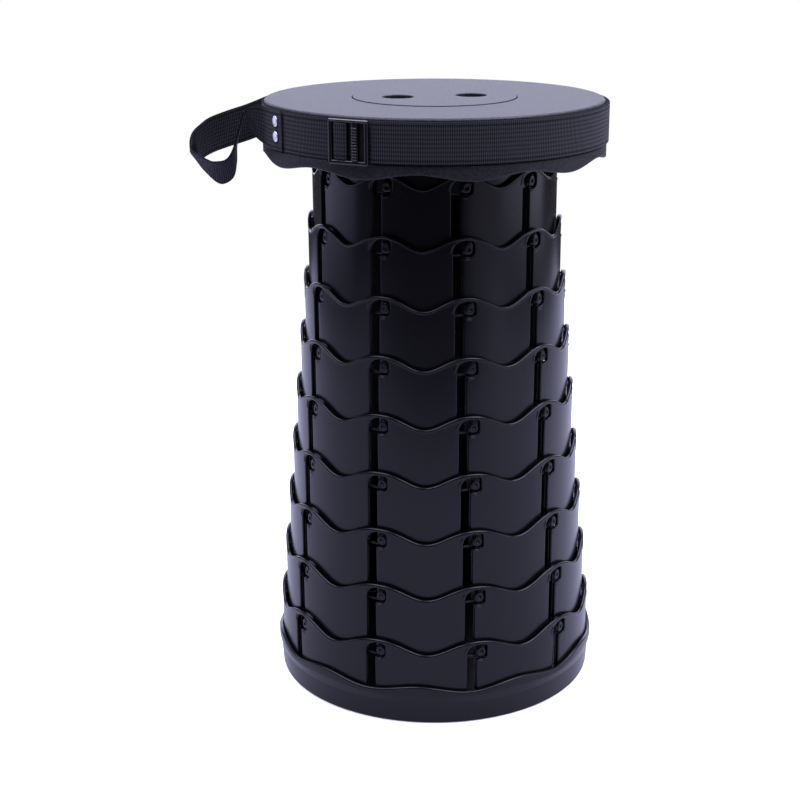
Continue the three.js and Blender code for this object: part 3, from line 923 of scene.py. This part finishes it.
# Seat
@dataclass(frozen=True)
class Seat:
    """The seat's shell and round plate. Radii and heights are millimetres."""

    flat_radius: float = 123.0
    edge_fillet: float = 2.4
    edge_points: int = 7
    groove_radius: float = 125.3
    groove_foot: float = 419.3
    groove_step: float = 0.6
    step_edge: float = 0.35
    skirt_radius: float = 127.0
    skirt_edge: float = 410.0
    skirt_outer_edge: float = 1.4
    skirt_inner_edge: float = 0.7
    ripple_start: float = 1.0
    ripple_end: float = 2.0
    ripple_rows: tuple[float, float, int] = (2.0, 3.0, 5)
    nest_fillet: float = 1.5
    socket_outer: float = 84.75
    socket_inner: float = 82.75
    socket_depth: float = 8.0
    socket_edge: float = 0.5
    plate_radius: float = 60.3
    plate_opening: float = 60.9
    plate_opening_edge: float = 0.5
    plate_thickness: float = 3.0
    plate_rise: float = 0.45
    plate_back: float = 0.2
    plate_edge: float = 0.3
    plate_edge_points: int = 4
    ledge_width: float = 3.9
    ledge_wall: float = 2.3
    ledge_thickness: float = 3.0
    ledge_edge: float = 0.4
    rib_width: float = 2.4
    rib_depth: float = 6.0
    rib_root: float = 1.0
    rib_edge: float = 0.5
    hole_radius: float = 11.5
    hole_flare: float = 0.5
    hole_rim: float = 0.3
    hole_reach: float = 27.5
    hole_turn: float = math.radians(11)
    collar_wall: float = 2.2
    collar_depth: float = 7.0
    collar_edge: float = 0.4
    flare_points: int = 6
    face_rows: int = 9
    arc_points: int = 61
    line_points: int = 33
    steps: int = 240

    def shell(self) -> bpy.types.Object:
        """Builds the shell: flat top, rounded edge, strap groove, wavy skirt, socket and ribs.

        Returns:
            The new piece.
        """
        top, under = SIZES.seat_top, SIZES.seat_underside
        sweep = math.asin((self.groove_radius - self.flat_radius) / self.edge_fillet)
        turn = np.linspace(sweep, 0, self.edge_points)
        across, drop = self.edge_fillet * np.sin(turn), self.edge_fillet * (1 - np.cos(turn))
        ledge_top = top - self.plate_thickness - SIZES.fit_gap
        ledge_foot = ledge_top - self.ledge_thickness
        ledge_inner = self.plate_opening - self.ledge_width
        ledge_outer = self.plate_opening + self.ledge_wall
        socket_foot = under - self.socket_depth
        # Each corner's radius, height and rounding
        outline = [
            (ledge_inner, ledge_top, self.ledge_edge),
            (ledge_inner, ledge_foot, self.ledge_edge),
            (ledge_outer, ledge_foot, self.ledge_edge),
            (ledge_outer, under, 0),
            (self.socket_inner, under, 0),
            (self.socket_inner, socket_foot, self.socket_edge),
            (self.socket_outer, socket_foot, self.socket_edge),
            (self.socket_outer, under, 0),
            (SIZES.nest_radius, under, self.nest_fillet),
            (SIZES.nest_radius, self.skirt_edge, self.skirt_inner_edge),
            (self.skirt_radius, self.skirt_edge, self.skirt_outer_edge),
            (self.skirt_radius, self.groove_foot - self.groove_step, self.step_edge),
            (self.groove_radius, self.groove_foot, 0),
            *zip(self.flat_radius + across, top - drop, np.zeros_like(turn)),
            (self.plate_opening, top, self.plate_opening_edge),
            (self.plate_opening, ledge_top, 0),
        ]
        below, above, rows = self.ripple_rows
        points = self.refined(
            filleted(outline), np.linspace(self.groove_foot - below, self.skirt_edge + above, rows)
        )
        draft = Draft()
        ripple = (self.groove_foot - self.ripple_start, self.skirt_edge + self.ripple_end)
        draft.grid(turned(points, self.steps, ripple))
        inner, outer = ledge_outer - self.rib_root, self.socket_inner + self.rib_root
        height = self.rib_depth + self.rib_root
        rib = rounded_block((self.rib_width, height, outer - inner), self.rib_edge)
        for azimuth in FULL_TURN * np.arange(SIZES.waves) / SIZES.waves:
            draft.grid(on_wall(rib, azimuth, (inner + outer) / 2, under + self.rib_root - height / 2))
        return dress(draft.piece("seat_shell_moulded"), Finish.SEAT, "seat", "seat_shell")

    @staticmethod
    def refined(outline: Array, heights: Array, margin: float = 0.2) -> Array:
        """Adds points where upright sides of an outline cross the given heights.

        Args:
            outline: points x 2.
            heights: the heights to add.
            margin: the least distance from a point that is there.

        Returns:
            The outline with the added points, in order.
        """
        parts = [outline[:1]]
        for start, end in zip(outline[:-1], outline[1:]):
            low, high = min(start[1], end[1]), max(start[1], end[1])
            inside = [h for h in heights if low + margin < h < high - margin]
            inside.sort(reverse=bool(end[1] < start[1]))
            share = [(h - start[1]) / (end[1] - start[1]) for h in inside]
            parts.append(np.array([*(start + (end - start) * s for s in share), end]))
        return np.concatenate(parts)

    def plate(self) -> bpy.types.Object:
        """Builds the round plate from two half discs, each spread round its finger hole.

        Returns:
            The new piece.
        """
        draft, edge = Draft(), self.plate_edge
        top, bottom = SIZES.seat_top + self.plate_rise, SIZES.seat_top - self.plate_thickness
        inner, collar = self.hole_radius, self.hole_radius + self.collar_wall
        flare, foot = self.hole_flare + self.hole_rim, bottom - self.collar_depth
        lean = np.linspace(0, RIGHT_ANGLE, self.flare_points)
        radii = [*(inner + flare - flare * np.sin(lean)), inner, inner + self.collar_edge]
        radii += [collar - self.collar_edge, collar, collar]
        heights = [*(top - flare * (1 - np.cos(lean))), foot + self.collar_edge, foot]
        heights += [foot, foot + self.collar_edge, bottom]
        turn = np.linspace(0, RIGHT_ANGLE, self.plate_edge_points)
        rim, drop = self.plate_radius - edge + edge * np.sin(turn), edge * (1 - np.cos(turn))
        rims = np.concatenate([rim, rim[::-1]])[:, None, None]
        rim_heights = np.concatenate([top - drop, bottom + drop[::-1]])[:, None]
        arc = np.linspace(-RIGHT_ANGLE, RIGHT_ANGLE, self.arc_points)
        line = np.linspace(1, -1, self.line_points)[1:]
        share = np.linspace(0, 1, self.face_rows)[:, None, None]
        for side in (-1, 1):
            bow = np.stack([side * np.cos(arc), np.sin(arc)], axis=-1)
            chord = np.stack([np.zeros_like(line), line], axis=-1)
            centre = np.array([side * self.hole_reach, 0.0])
            ring = np.concatenate([bow, chord]) * (self.plate_radius - edge) - centre
            out = unit(ring)
            for start, level in ((inner + flare, top), (collar, bottom)):
                draft.grid(self.lifted(centre + start * out * (1 - share) + ring * share, level))
            hole = centre + np.array(radii)[:, None, None] * out
            draft.grid(self.lifted(hole, np.array(heights)[:, None]))
            draft.grid(self.lifted(rims * bow, rim_heights))
        return dress(draft.piece("seat_centre_plate_moulded"), Finish.SEAT, "seat", "seat_centre_plate")

    def lifted(self, flat: Array, height: Array | float) -> Array:
        """Turns flat points into the plate's own direction and gives them a height.

        Args:
            flat: points with a last axis of two.
            height: one height or heights that spread with the points.

        Returns:
            Points with a last axis of three.
        """
        cosine, sine = math.cos(self.hole_turn), math.sin(self.hole_turn)
        x = flat[..., 0] * cosine - flat[..., 1] * sine
        y = flat[..., 0] * sine + flat[..., 1] * cosine + self.plate_back
        return np.stack([x, y, np.broadcast_to(height, x.shape)], axis=-1)

    def build(self) -> list[bpy.types.Object]:
        """Builds the shell and the plate."""
        return [self.shell(), self.plate()]


@dataclass(frozen=True)
class Base:
    """The base tray. Radii and heights are millimetres."""

    toe: tuple[float, float] = (123.8, 1.6)
    neck: tuple[float, float, float] = (124.9, 17.0, 8.0)
    flare: tuple[float, float, float] = (126.5, 23.5, 6.0)
    rim: float = 28.7
    rim_outer_edge: float = 1.3
    rim_inner_edge: float = 0.8
    ripple_start: float = 4.0
    ripple_end: float = 3.0
    ledge_width: float = 5.0
    ledge_fillet: float = 0.3
    ledge_edge: float = 0.4
    floor: float = 3.0
    floor_fillet: float = 1.0
    steps: int = 240

    def build(self) -> list[bpy.types.Object]:
        """Builds the tray: floor, ledge, low wall and flared wavy rim.

        Returns:
            The new piece, in a list.
        """
        ledge_top, nest = SIZES.foot - SIZES.fit_gap, SIZES.nest_radius
        # Each corner's radius, height and rounding
        outline = [
            (0, 0, 0),
            (self.toe[0], 0, self.toe[1]),
            self.neck,
            self.flare,
            (self.flare[0], self.rim, self.rim_outer_edge),
            (nest, self.rim, self.rim_inner_edge),
            (nest, ledge_top, self.ledge_fillet),
            (nest - self.ledge_width, ledge_top, self.ledge_edge),
            (nest - self.ledge_width, self.floor, self.floor_fillet),
            (0, self.floor, 0),
        ]
        draft = Draft()
        ripple = (self.neck[1] + self.ripple_start, self.rim - self.ripple_end)
        draft.grid(turned(filleted(outline)[:-1], self.steps, ripple))
        return [dress(draft.piece("base_tray_moulded"), Finish.RINGS, "base", "base_tray")]


# Strap
@dataclass(frozen=True)
class Webbing:
    """The strap's width, thickness and the section of its woven edge, in millimetres."""

    width: float = SIZES.webbing_width
    thickness: float = 1.3
    inner_layer: float = 126.25
    outer_layer: float = 127.85
    outer_start: float = math.radians(-19.3)
    outer_sweep: float = math.radians(264)
    inner_steps: int = 300
    outer_steps: int = 220
    first_weft: float = 0.75
    edge_points: int = 7

    def section(self) -> tuple[Array, Array]:
        """The closed section: flat faces and half-round edges.

        Returns:
            Places across the width and through the thickness.
        """
        half = self.thickness / 2
        flat = self.width / 2 - half
        turn = np.linspace(-RIGHT_ANGLE, RIGHT_ANGLE, self.edge_points)
        across = np.concatenate([flat + half * np.cos(turn), -flat - half * np.cos(turn)])
        through = np.concatenate([half * np.sin(turn), -half * np.sin(turn)])
        return np.append(across, across[0]), np.append(through, through[0])

    def ribbon(self, middle: Array, across: Array, face: Array, closed: bool = False) -> Draft:
        """Carries the section along a path.

        Args:
            middle: stations x 3 points of the middle line.
            across: stations x 3 unit directions of the width.
            face: stations x 3 unit directions out of the face.
            closed: whether the path is a ring.

        Returns:
            The ribbon as a draft.
        """
        side, through = self.section()
        points = middle[None] + side[:, None, None] * across[None] + through[:, None, None] * face[None]
        run = self.first_weft + np.append(0, np.cumsum(np.linalg.norm(np.diff(middle, axis=0), axis=1)))
        marks = np.stack(np.broadcast_arrays(run[None], side[:, None] + self.width / 2), axis=-1)
        draft = Draft()
        draft.grid(points, marks=marks)
        for end in () if closed else (0, -1):
            cap = np.stack([points[:, end], np.broadcast_to(middle[end], points[:, end].shape)])
            draft.grid(cap, marks=np.stack([marks[:, end], marks[:, end]]))
        return draft

    def hoop(self, radius: float, sweep: float, steps: int) -> Draft:
        """A band of webbing round the seat.

        Args:
            radius: the middle of its thickness.
            sweep: the angle that it covers.
            steps: facets along it.

        Returns:
            The band as a draft.
        """
        azimuth = self.outer_start + np.linspace(0, sweep, steps + 1)
        middle = around(azimuth, np.array(radius), np.array(SIZES.webbing_middle))
        up = np.broadcast_to([0.0, 0.0, 1.0], middle.shape)
        out = around(azimuth, np.array(1.0), np.array(0.0))
        return self.ribbon(middle, up, out, closed=sweep >= FULL_TURN)


def spline(points: Array, steps: int) -> Array:
    """A centripetal Catmull-Rom curve through points: cubic pieces timed by root distances.

    Args:
        points: points x 3.
        steps: even steps of the curve's own measure.

    Returns:
        (steps + 1) x 3 points.
    """
    first, last = 2 * points[:1] - points[1:2], 2 * points[-1:] - points[-2:-1]
    padded = np.concatenate([first, points, last])
    time = np.linspace(0, len(points) - 1, steps + 1)
    piece = np.minimum(time.astype(int), len(points) - 2)
    share = (time - piece)[:, None]
    p0, p1, p2, p3 = (padded[piece + k] for k in range(4))
    gap = [np.sqrt(np.linalg.norm(b - a, axis=1, keepdims=True)) for a, b in ((p0, p1), (p1, p2), (p2, p3))]
    middle = np.where(gap[1] < LEAST_SPLINE_GAP, 1.0, gap[1])
    before, after = (np.where(g < LEAST_SPLINE_GAP, middle, g) for g in (gap[0], gap[2]))
    leave = ((p1 - p0) / before - (p2 - p0) / (before + middle) + (p2 - p1) / middle) * middle
    land = ((p2 - p1) / middle - (p3 - p1) / (middle + after) + (p3 - p2) / after) * middle
    bend = -3 * p1 + 3 * p2 - 2 * leave - land
    twist = 2 * p1 - 2 * p2 + leave + land
    return p1 + leave * share + bend * share**2 + twist * share**3


@dataclass(frozen=True)
class Loop:
    """The free carrying loop: stations as shares of its reach, depth and drop."""

    cut: float = math.radians(-56.3)
    rivet: float = math.radians(-60.3)
    leave: float = math.radians(-66)
    land: float = math.radians(-109)
    end: float = math.radians(-115.3)
    lift: float = 0.6
    reach: float = 51.0
    depth: float = 40.0
    drop: float = 36.0
    steps: int = 260
    place_shares: tuple[tuple[float, float, float], ...] = (
        (-0.13, -1.16, -0.03),
        (-0.01, -1.06, -0.09),
        (0.08, -0.96, -0.14),
        (0.14, -0.87, -0.21),
        (0.20, -0.80, -0.17),
        (0.26, -0.73, 0.10),
        (0.32, -0.66, 0.39),
        (0.36, -0.61, 0.69),
        (0.43, -0.57, 0.92),
        (0.57, -0.52, 1.02),
        (0.75, -0.43, 0.92),
        (0.91, -0.25, 0.78),
        (1.05, -0.02, 0.66),
        (1.06, 0.15, 0.60),
        (0.99, 0.35, 0.58),
        (0.83, 0.55, 0.44),
        (0.58, 0.72, 0.32),
        (0.30, 0.89, 0.21),
        (0.01, 0.95, 0.06),
    )
    width_directions: tuple[tuple[float, float, float], ...] = (
        (-0.02, 0.22, -0.98),
        (-0.03, 0.48, -0.88),
        (-0.07, 0.73, -0.68),
        (-0.10, 0.92, -0.38),
        (-0.12, 0.97, -0.21),
        (-0.13, 0.97, -0.22),
        (-0.11, 0.96, -0.27),
        (-0.03, 0.88, -0.47),
        (0.01, 0.77, -0.63),
        (-0.08, 0.71, -0.70),
        (-0.27, 0.87, -0.42),
        (-0.24, 0.93, -0.26),
        (-0.18, 0.97, -0.17),
        (-0.10, 0.84, -0.53),
        (-0.02, 0.40, -0.91),
        (0.00, 0.25, -0.97),
        (0.01, 0.21, -0.98),
        (0.00, 0.17, -0.99),
        (0.00, 0.08, -1.00),
    )

    def build(self, webbing: Webbing) -> bpy.types.Object:
        """Args:
            webbing: the strap's section.

        Returns:
            The new piece.
        """
        radius, level = webbing.outer_layer, SIZES.webbing_middle
        end = self.end + SIZES.fit_gap / radius
        azimuth = np.array([self.cut, self.rivet, self.leave, self.land, (self.land + end) / 2, end])
        rim = around(azimuth, radius + self.lift * np.array([0, 0, 1, 1, 0, 0]), np.array(level))
        free = np.array([-radius, 0.0, level])
        free = free + np.array(self.place_shares) * [-self.reach, self.depth, -self.drop]
        middle = spline(np.concatenate([rim[:3], free, rim[3:]]), self.steps)
        down = np.broadcast_to([0.0, 0.0, -1.0], (3, 3))
        widths = unit(np.array(self.width_directions))
        across = unit(spline(np.concatenate([down, widths, down]), self.steps))
        face = unit(np.cross(np.gradient(middle, axis=0), across))
        piece = webbing.ribbon(middle, across, face).piece("strap_loop_woven")
        dress(piece, Finish.WEBBING, "seat", "strap_loop")
        return piece


@dataclass(frozen=True)
class Slider:
    """The slider: outer sizes, bars and windows along its length, in millimetres."""

    azimuth: float = math.radians(-26.85)
    radius: float = 127.2
    length: float = 30.6
    middle: float = 432.95
    height: float = 30.6
    thickness: float = 2.6
    rail: float = 2.3
    foot_rail: float = 3.1
    left_bar: float = 3.0
    wrap_window: float = 14.9
    grip_bar: float = 5.0
    right_bar: float = 2.9
    bar_inset: float = 1.0
    centre_bar: float = 3.5
    centre_offset: float = 4.8
    centre_thickness: float = 1.2
    centre_rounding: float = 0.4
    rounding: float = 1.1
    # The thin black sheet behind the frame's windows and gaps: painted shade
    shade_sheet: float = 0.35
    shade_sheet_rounding: float = 0.1
    ridge_pitch: float = 1.92
    ridge_count: int = 12
    ridge_drop: float = 1.0
    ridge_height: float = 0.6
    ridge_root: float = 0.4
    ridge_inset: float = 0.3
    ridge_share: float = 0.58
    ridge_rounding_share: float = 0.95
    wrap_length: float = 9.7
    wrap_gap: float = 0.3
    wrap_start: float = 1.7
    wrap_dip: float = 0.9
    wrap_power: int = 4
    wrap_points: int = 25

    def frame(self) -> bpy.types.Object:
        """Builds the frame's rails, bars, a thin black sheet behind the windows as painted shade, and the
        grip's ridges, each a rounded block.

        Returns:
            The new piece.
        """
        left, half, out = -self.length / 2, self.height / 2, self.thickness
        window = left + self.left_bar
        grip, centre = window + self.wrap_window, window + self.centre_offset
        inset, level = self.rail / 2, half - self.bar_inset
        # Each block's lowest and highest corner, along, up and out from the wall, and its rounding
        blocks = [
            ((left, -half, 0), (-left, self.foot_rail - half, out), self.rounding),
            ((left, half - self.rail, 0), (-left, half, out), self.rounding),
        ]
        for start, stop in ((left, window), (grip, grip + self.grip_bar), (-left - self.right_bar, -left)):
            blocks.append(((start, -level, 0), (stop, level, out), self.rounding))
        stop = centre + self.centre_bar
        blocks.append(((centre, -level, 0), (stop, level, self.centre_thickness), self.centre_rounding))
        # A thin black sheet across the frame's back, where the webbing would show in shade: painted shade
        # that makes the windows and gaps look deep
        back = ((left + inset, inset - half, 0), (-left - inset, half - inset, self.shade_sheet))
        blocks.append((*back, self.shade_sheet_rounding))
        ridge = self.ridge_pitch * self.ridge_share / 2
        start, stop = grip + self.ridge_inset, grip + self.grip_bar - self.ridge_inset
        for k in range(self.ridge_count):
            rise = (k - (self.ridge_count - 1) / 2) * self.ridge_pitch - self.ridge_drop
            low = (start, rise - ridge, out - self.ridge_root)
            high = (stop, rise + ridge, out + self.ridge_height)
            blocks.append((low, high, ridge * self.ridge_rounding_share))
        draft = Draft()
        for low, high, rounding in blocks:
            size, centre_point = np.subtract(high, low), np.add(low, high) / 2
            points = rounded_block(size, rounding) + centre_point
            draft.grid(on_wall(points, self.azimuth, self.radius, self.middle))
        return dress(draft.piece("strap_slider_bars"), Finish.SLIDER, "slider", "strap_slider_frame")

    def wrap(self, webbing: Webbing) -> bpy.types.Object:
        """Builds the webbing over the centre bar: a low arch that dips behind at both sides.

        Args:
            webbing: the strap's section.

        Returns:
            The new piece.
        """
        width = self.height - self.rail - self.foot_rail - 2 * self.wrap_gap
        start = -self.length / 2 + self.left_bar + self.wrap_start
        share = np.linspace(-1, 1, self.wrap_points)
        along = start + self.wrap_length / 2 * (1 + share)
        rise = self.centre_thickness + self.wrap_gap + webbing.thickness / 2
        lift = np.full_like(along, (self.foot_rail - self.rail) / 2)
        path = np.stack([along, lift, rise - self.wrap_dip * share**self.wrap_power], axis=-1)
        middle = on_wall(path, self.azimuth, self.radius, self.middle)
        up = np.broadcast_to([0.0, 0.0, 1.0], middle.shape)
        face = unit(np.cross(np.gradient(middle, axis=0), up))
        piece = Webbing(width=width).ribbon(middle, up, face).piece("strap_slider_wrap_woven")
        return dress(piece, Finish.WEBBING, "slider", "strap_slider_wrap")


@dataclass(frozen=True)
class Rivet:
    """The rivets that hold the loop's cut end."""

    azimuth: float = math.radians(-59.9)
    rise: float = 1.2
    spacing: float = 10.6
    radius: float = 125.6
    face: float = 3.2
    head_radius: float = 3.8
    head_height: float = 1.4
    head_undercut: float = 0.4
    head_edge: float = 0.3
    dome_power: float = 0.8
    dome_points: int = 8
    shank_radius: float = 2.1
    steps: int = 36

    def build(self, place: str, way: int) -> bpy.types.Object:
        """Builds one rivet: a shank and a domed head with a rounded rim.

        Args:
            place: upper or lower.
            way: 1 for the upper one and -1 for the lower one.

        Returns:
            The new piece.
        """
        turn = np.linspace(0, RIGHT_ANGLE, self.dome_points)[1:]
        edge, shank = self.face + self.head_edge, self.shank_radius
        radii = [0, shank, shank, self.head_radius - self.head_undercut, self.head_radius]
        heights = [0, 0, self.face, self.face, edge]
        radii += list(self.head_radius * np.cos(turn) ** self.dome_power)
        heights += list(edge + (self.head_height - self.head_edge) * np.sin(turn))
        angle = np.linspace(0, FULL_TURN, self.steps + 1)
        radius, height = np.array(radii)[:, None], np.array(heights)[:, None]
        places = np.broadcast_arrays(radius * np.cos(angle), radius * np.sin(angle), height)
        points = np.stack(places, axis=-1)
        points[:, -1] = points[:, 0]
        draft = Draft()
        level = SIZES.webbing_middle + self.rise + way * self.spacing / 2
        draft.grid(on_wall(points, self.azimuth, self.radius, level))
        name = f"strap_rivet_{place}"
        return dress(draft.piece(f"{name}_domed"), Finish.RIVET, "seat", name)


@dataclass(frozen=True)
class Strap:
    """The webbing round the seat, the loop, the slider and the rivets."""

    webbing: Webbing = Webbing()
    loop: Loop = Loop()
    slider: Slider = Slider()
    rivet: Rivet = Rivet()

    def build(self) -> list[bpy.types.Object]:
        """Builds the strap's pieces.

        Returns:
            The new pieces.
        """
        webbing = self.webbing
        inner = webbing.hoop(webbing.inner_layer, FULL_TURN, webbing.inner_steps)
        outer = webbing.hoop(webbing.outer_layer, webbing.outer_sweep, webbing.outer_steps)
        return [
            dress(inner.piece("strap_band_woven"), Finish.WEBBING, "seat", "strap_band"),
            dress(outer.piece("strap_outer_band_woven"), Finish.WEBBING, "seat", "strap_outer_band"),
            self.loop.build(webbing),
            self.slider.frame(),
            self.slider.wrap(webbing),
            self.rivet.build("upper", 1),
            self.rivet.build("lower", -1),
        ]


# Studio
@dataclass(frozen=True)
class Softbox:
    """A large soft lamp: where it stands, what it faces, its size in metres and its brightness."""

    name: str
    place: tuple[float, float, float]
    target: tuple[float, float, float]
    size: tuple[float, float]
    glow: float
    tint: str = "e3e3ff"

    def build(self) -> None:
        """Builds the lamp, unseen by the camera."""
        data = bpy.data.lights.new(self.name, "AREA")
        data.shape = "RECTANGLE"
        data.size, data.size_y = self.size
        data.energy = self.glow * math.pi * self.size[0] * self.size[1]
        data.color = linear(self.tint)[:3]
        lamp = bpy.data.objects.new(self.name, data)
        lamp.location = self.place
        lamp.rotation_euler = (Vector(self.target) - Vector(self.place)).to_track_quat("-Z", "Y").to_euler()
        lamp.visible_camera = False
        bpy.context.scene.collection.objects.link(lamp)


@dataclass(frozen=True)
class Studio:
    """The floor, the light and the camera. Lengths are metres."""

    floor_low: tuple[float, float] = (-1.1, -0.8)
    floor_high: tuple[float, float] = (1.1, 1.2)
    floor_colour: str = "f6f6f6"
    floor_bounce: str = "9696a0"
    floor_roughness: float = 0.9
    floor_specular: float = 0.1
    glow_colour: str = "d5d5d5"
    glow_bounce: str = "d5d5ff"
    floor_glow: float = 0.526
    ambient: float = 0.05
    sensor: float = 36
    lens: float = 70.07
    camera_place: tuple[float, float, float] = (0.0, -1.16215, 0.58548)
    camera_tilt: float = math.radians(71.991)
    shift: tuple[float, float] = (-0.0434, 0.0115)
    lamps: tuple[Softbox, ...] = (
        Softbox("softbox_top_left", (-0.75, 0.1, 1.9), (-0.75, 0.1, 0.0), (1.1, 2.2), 8.5),
        Softbox("softbox_top_right", (0.8, 0.1, 1.9), (0.8, 0.1, 0.0), (1.1, 2.2), 10.5),
        Softbox("softbox_back", (0.0, 1.9, 0.85), (0.0, 0.0, 0.45), (3.0, 1.5), 2.75),
        Softbox("softbox_left", (-1.4, 0.25, 0.5), (0.0, 0.0, 0.3), (1.3, 0.9), 1.6, "cfcfff"),
        Softbox("softbox_right", (1.4, 0.0, 0.6), (0.0, 0.0, 0.3), (1.5, 1.1), 2.0),
        Softbox("softbox_low_right", (0.85, -0.8, 0.3), (0.0, 0.0, 0.25), (0.7, 0.6), 0.6),
    )

    def floor_inputs(self, tree: bpy.types.NodeTree) -> dict:
        """A pale matt floor that shows white to the camera and lights the stool a little from below.

        Args:
            tree: the material's node tree.

        Returns:
            The main shader's inputs.
        """
        seen = add_node(tree, "LightPath", output="Is Camera Ray")
        pairs = ((self.floor_bounce, self.floor_colour), (self.glow_bounce, self.glow_colour))
        mixes = (
            {"Factor": seen, MIX_FIRST: linear(lit), MIX_SECOND: linear(shown)} for lit, shown in pairs
        )
        colour, glow = (add_node(tree, "Mix", mix, MIX_COLOUR, data_type="RGBA") for mix in mixes)
        return {
            "Base Color": colour,
            "Roughness": self.floor_roughness,
            "Specular IOR Level": self.floor_specular,
            "Emission Color": glow,
            "Emission Strength": self.floor_glow,
        }

    def floor(self) -> None:
        """Builds the plain pale floor that keeps the stool's shadow."""
        (left, front), (right, back) = self.floor_low, self.floor_high
        corners = [[left, front, 0], [right, front, 0], [left, back, 0], [right, back, 0]]
        draft = Draft()
        draft.grid(np.array(corners).reshape(2, 2, 3) / MM)
        floor = draft.piece("studio_floor")
        floor.data.materials.append(make_material("matt_white_floor", self.floor_inputs))

    def world(self) -> None:
        """Makes a white background for the camera and a weaker even light for everything else."""
        world = bpy.data.worlds.new("studio_world")
        world.use_nodes = True
        tree = world.node_tree
        tree.nodes.clear()
        mix = {0: add_node(tree, "LightPath", output="Is Camera Ray")}
        for key, strength in ((1, self.ambient), (2, 1.0)):
            mix[key] = add_node(tree, "Background", {"Color": (1, 1, 1, 1), "Strength": strength})
        add_node(tree, "OutputWorld", {"Surface": add_node(tree, "MixShader", mix)})
        bpy.context.scene.world = world

    def camera(self) -> None:
        """Places the camera that the photograph was taken with."""
        data = bpy.data.cameras.new("photo_camera")
        data.sensor_width = self.sensor
        data.lens = self.lens
        data.shift_x, data.shift_y = self.shift
        camera = bpy.data.objects.new("photo_camera", data)
        camera.location = self.camera_place
        camera.rotation_euler = (self.camera_tilt, 0, 0)
        bpy.context.scene.collection.objects.link(camera)
        bpy.context.scene.camera = camera

    def build(self) -> None:
        """Builds the whole studio."""
        self.floor()
        self.world()
        self.camera()
        for lamp in self.lamps:
            lamp.build()
        bpy.context.scene.view_settings.view_transform = "Standard"


def main() -> None:
    """Builds the stool from the base upwards, then the studio."""
    logging.basicConfig(level=logging.INFO, format="%(name)s: %(message)s")
    for part in (Base(), Column(), Seat(), Strap()):
        for piece in part.build():
            LOG.info("%s: %s", type(part).__name__, piece.name)
    Studio().build()


if __name__ == "__main__":
    main()
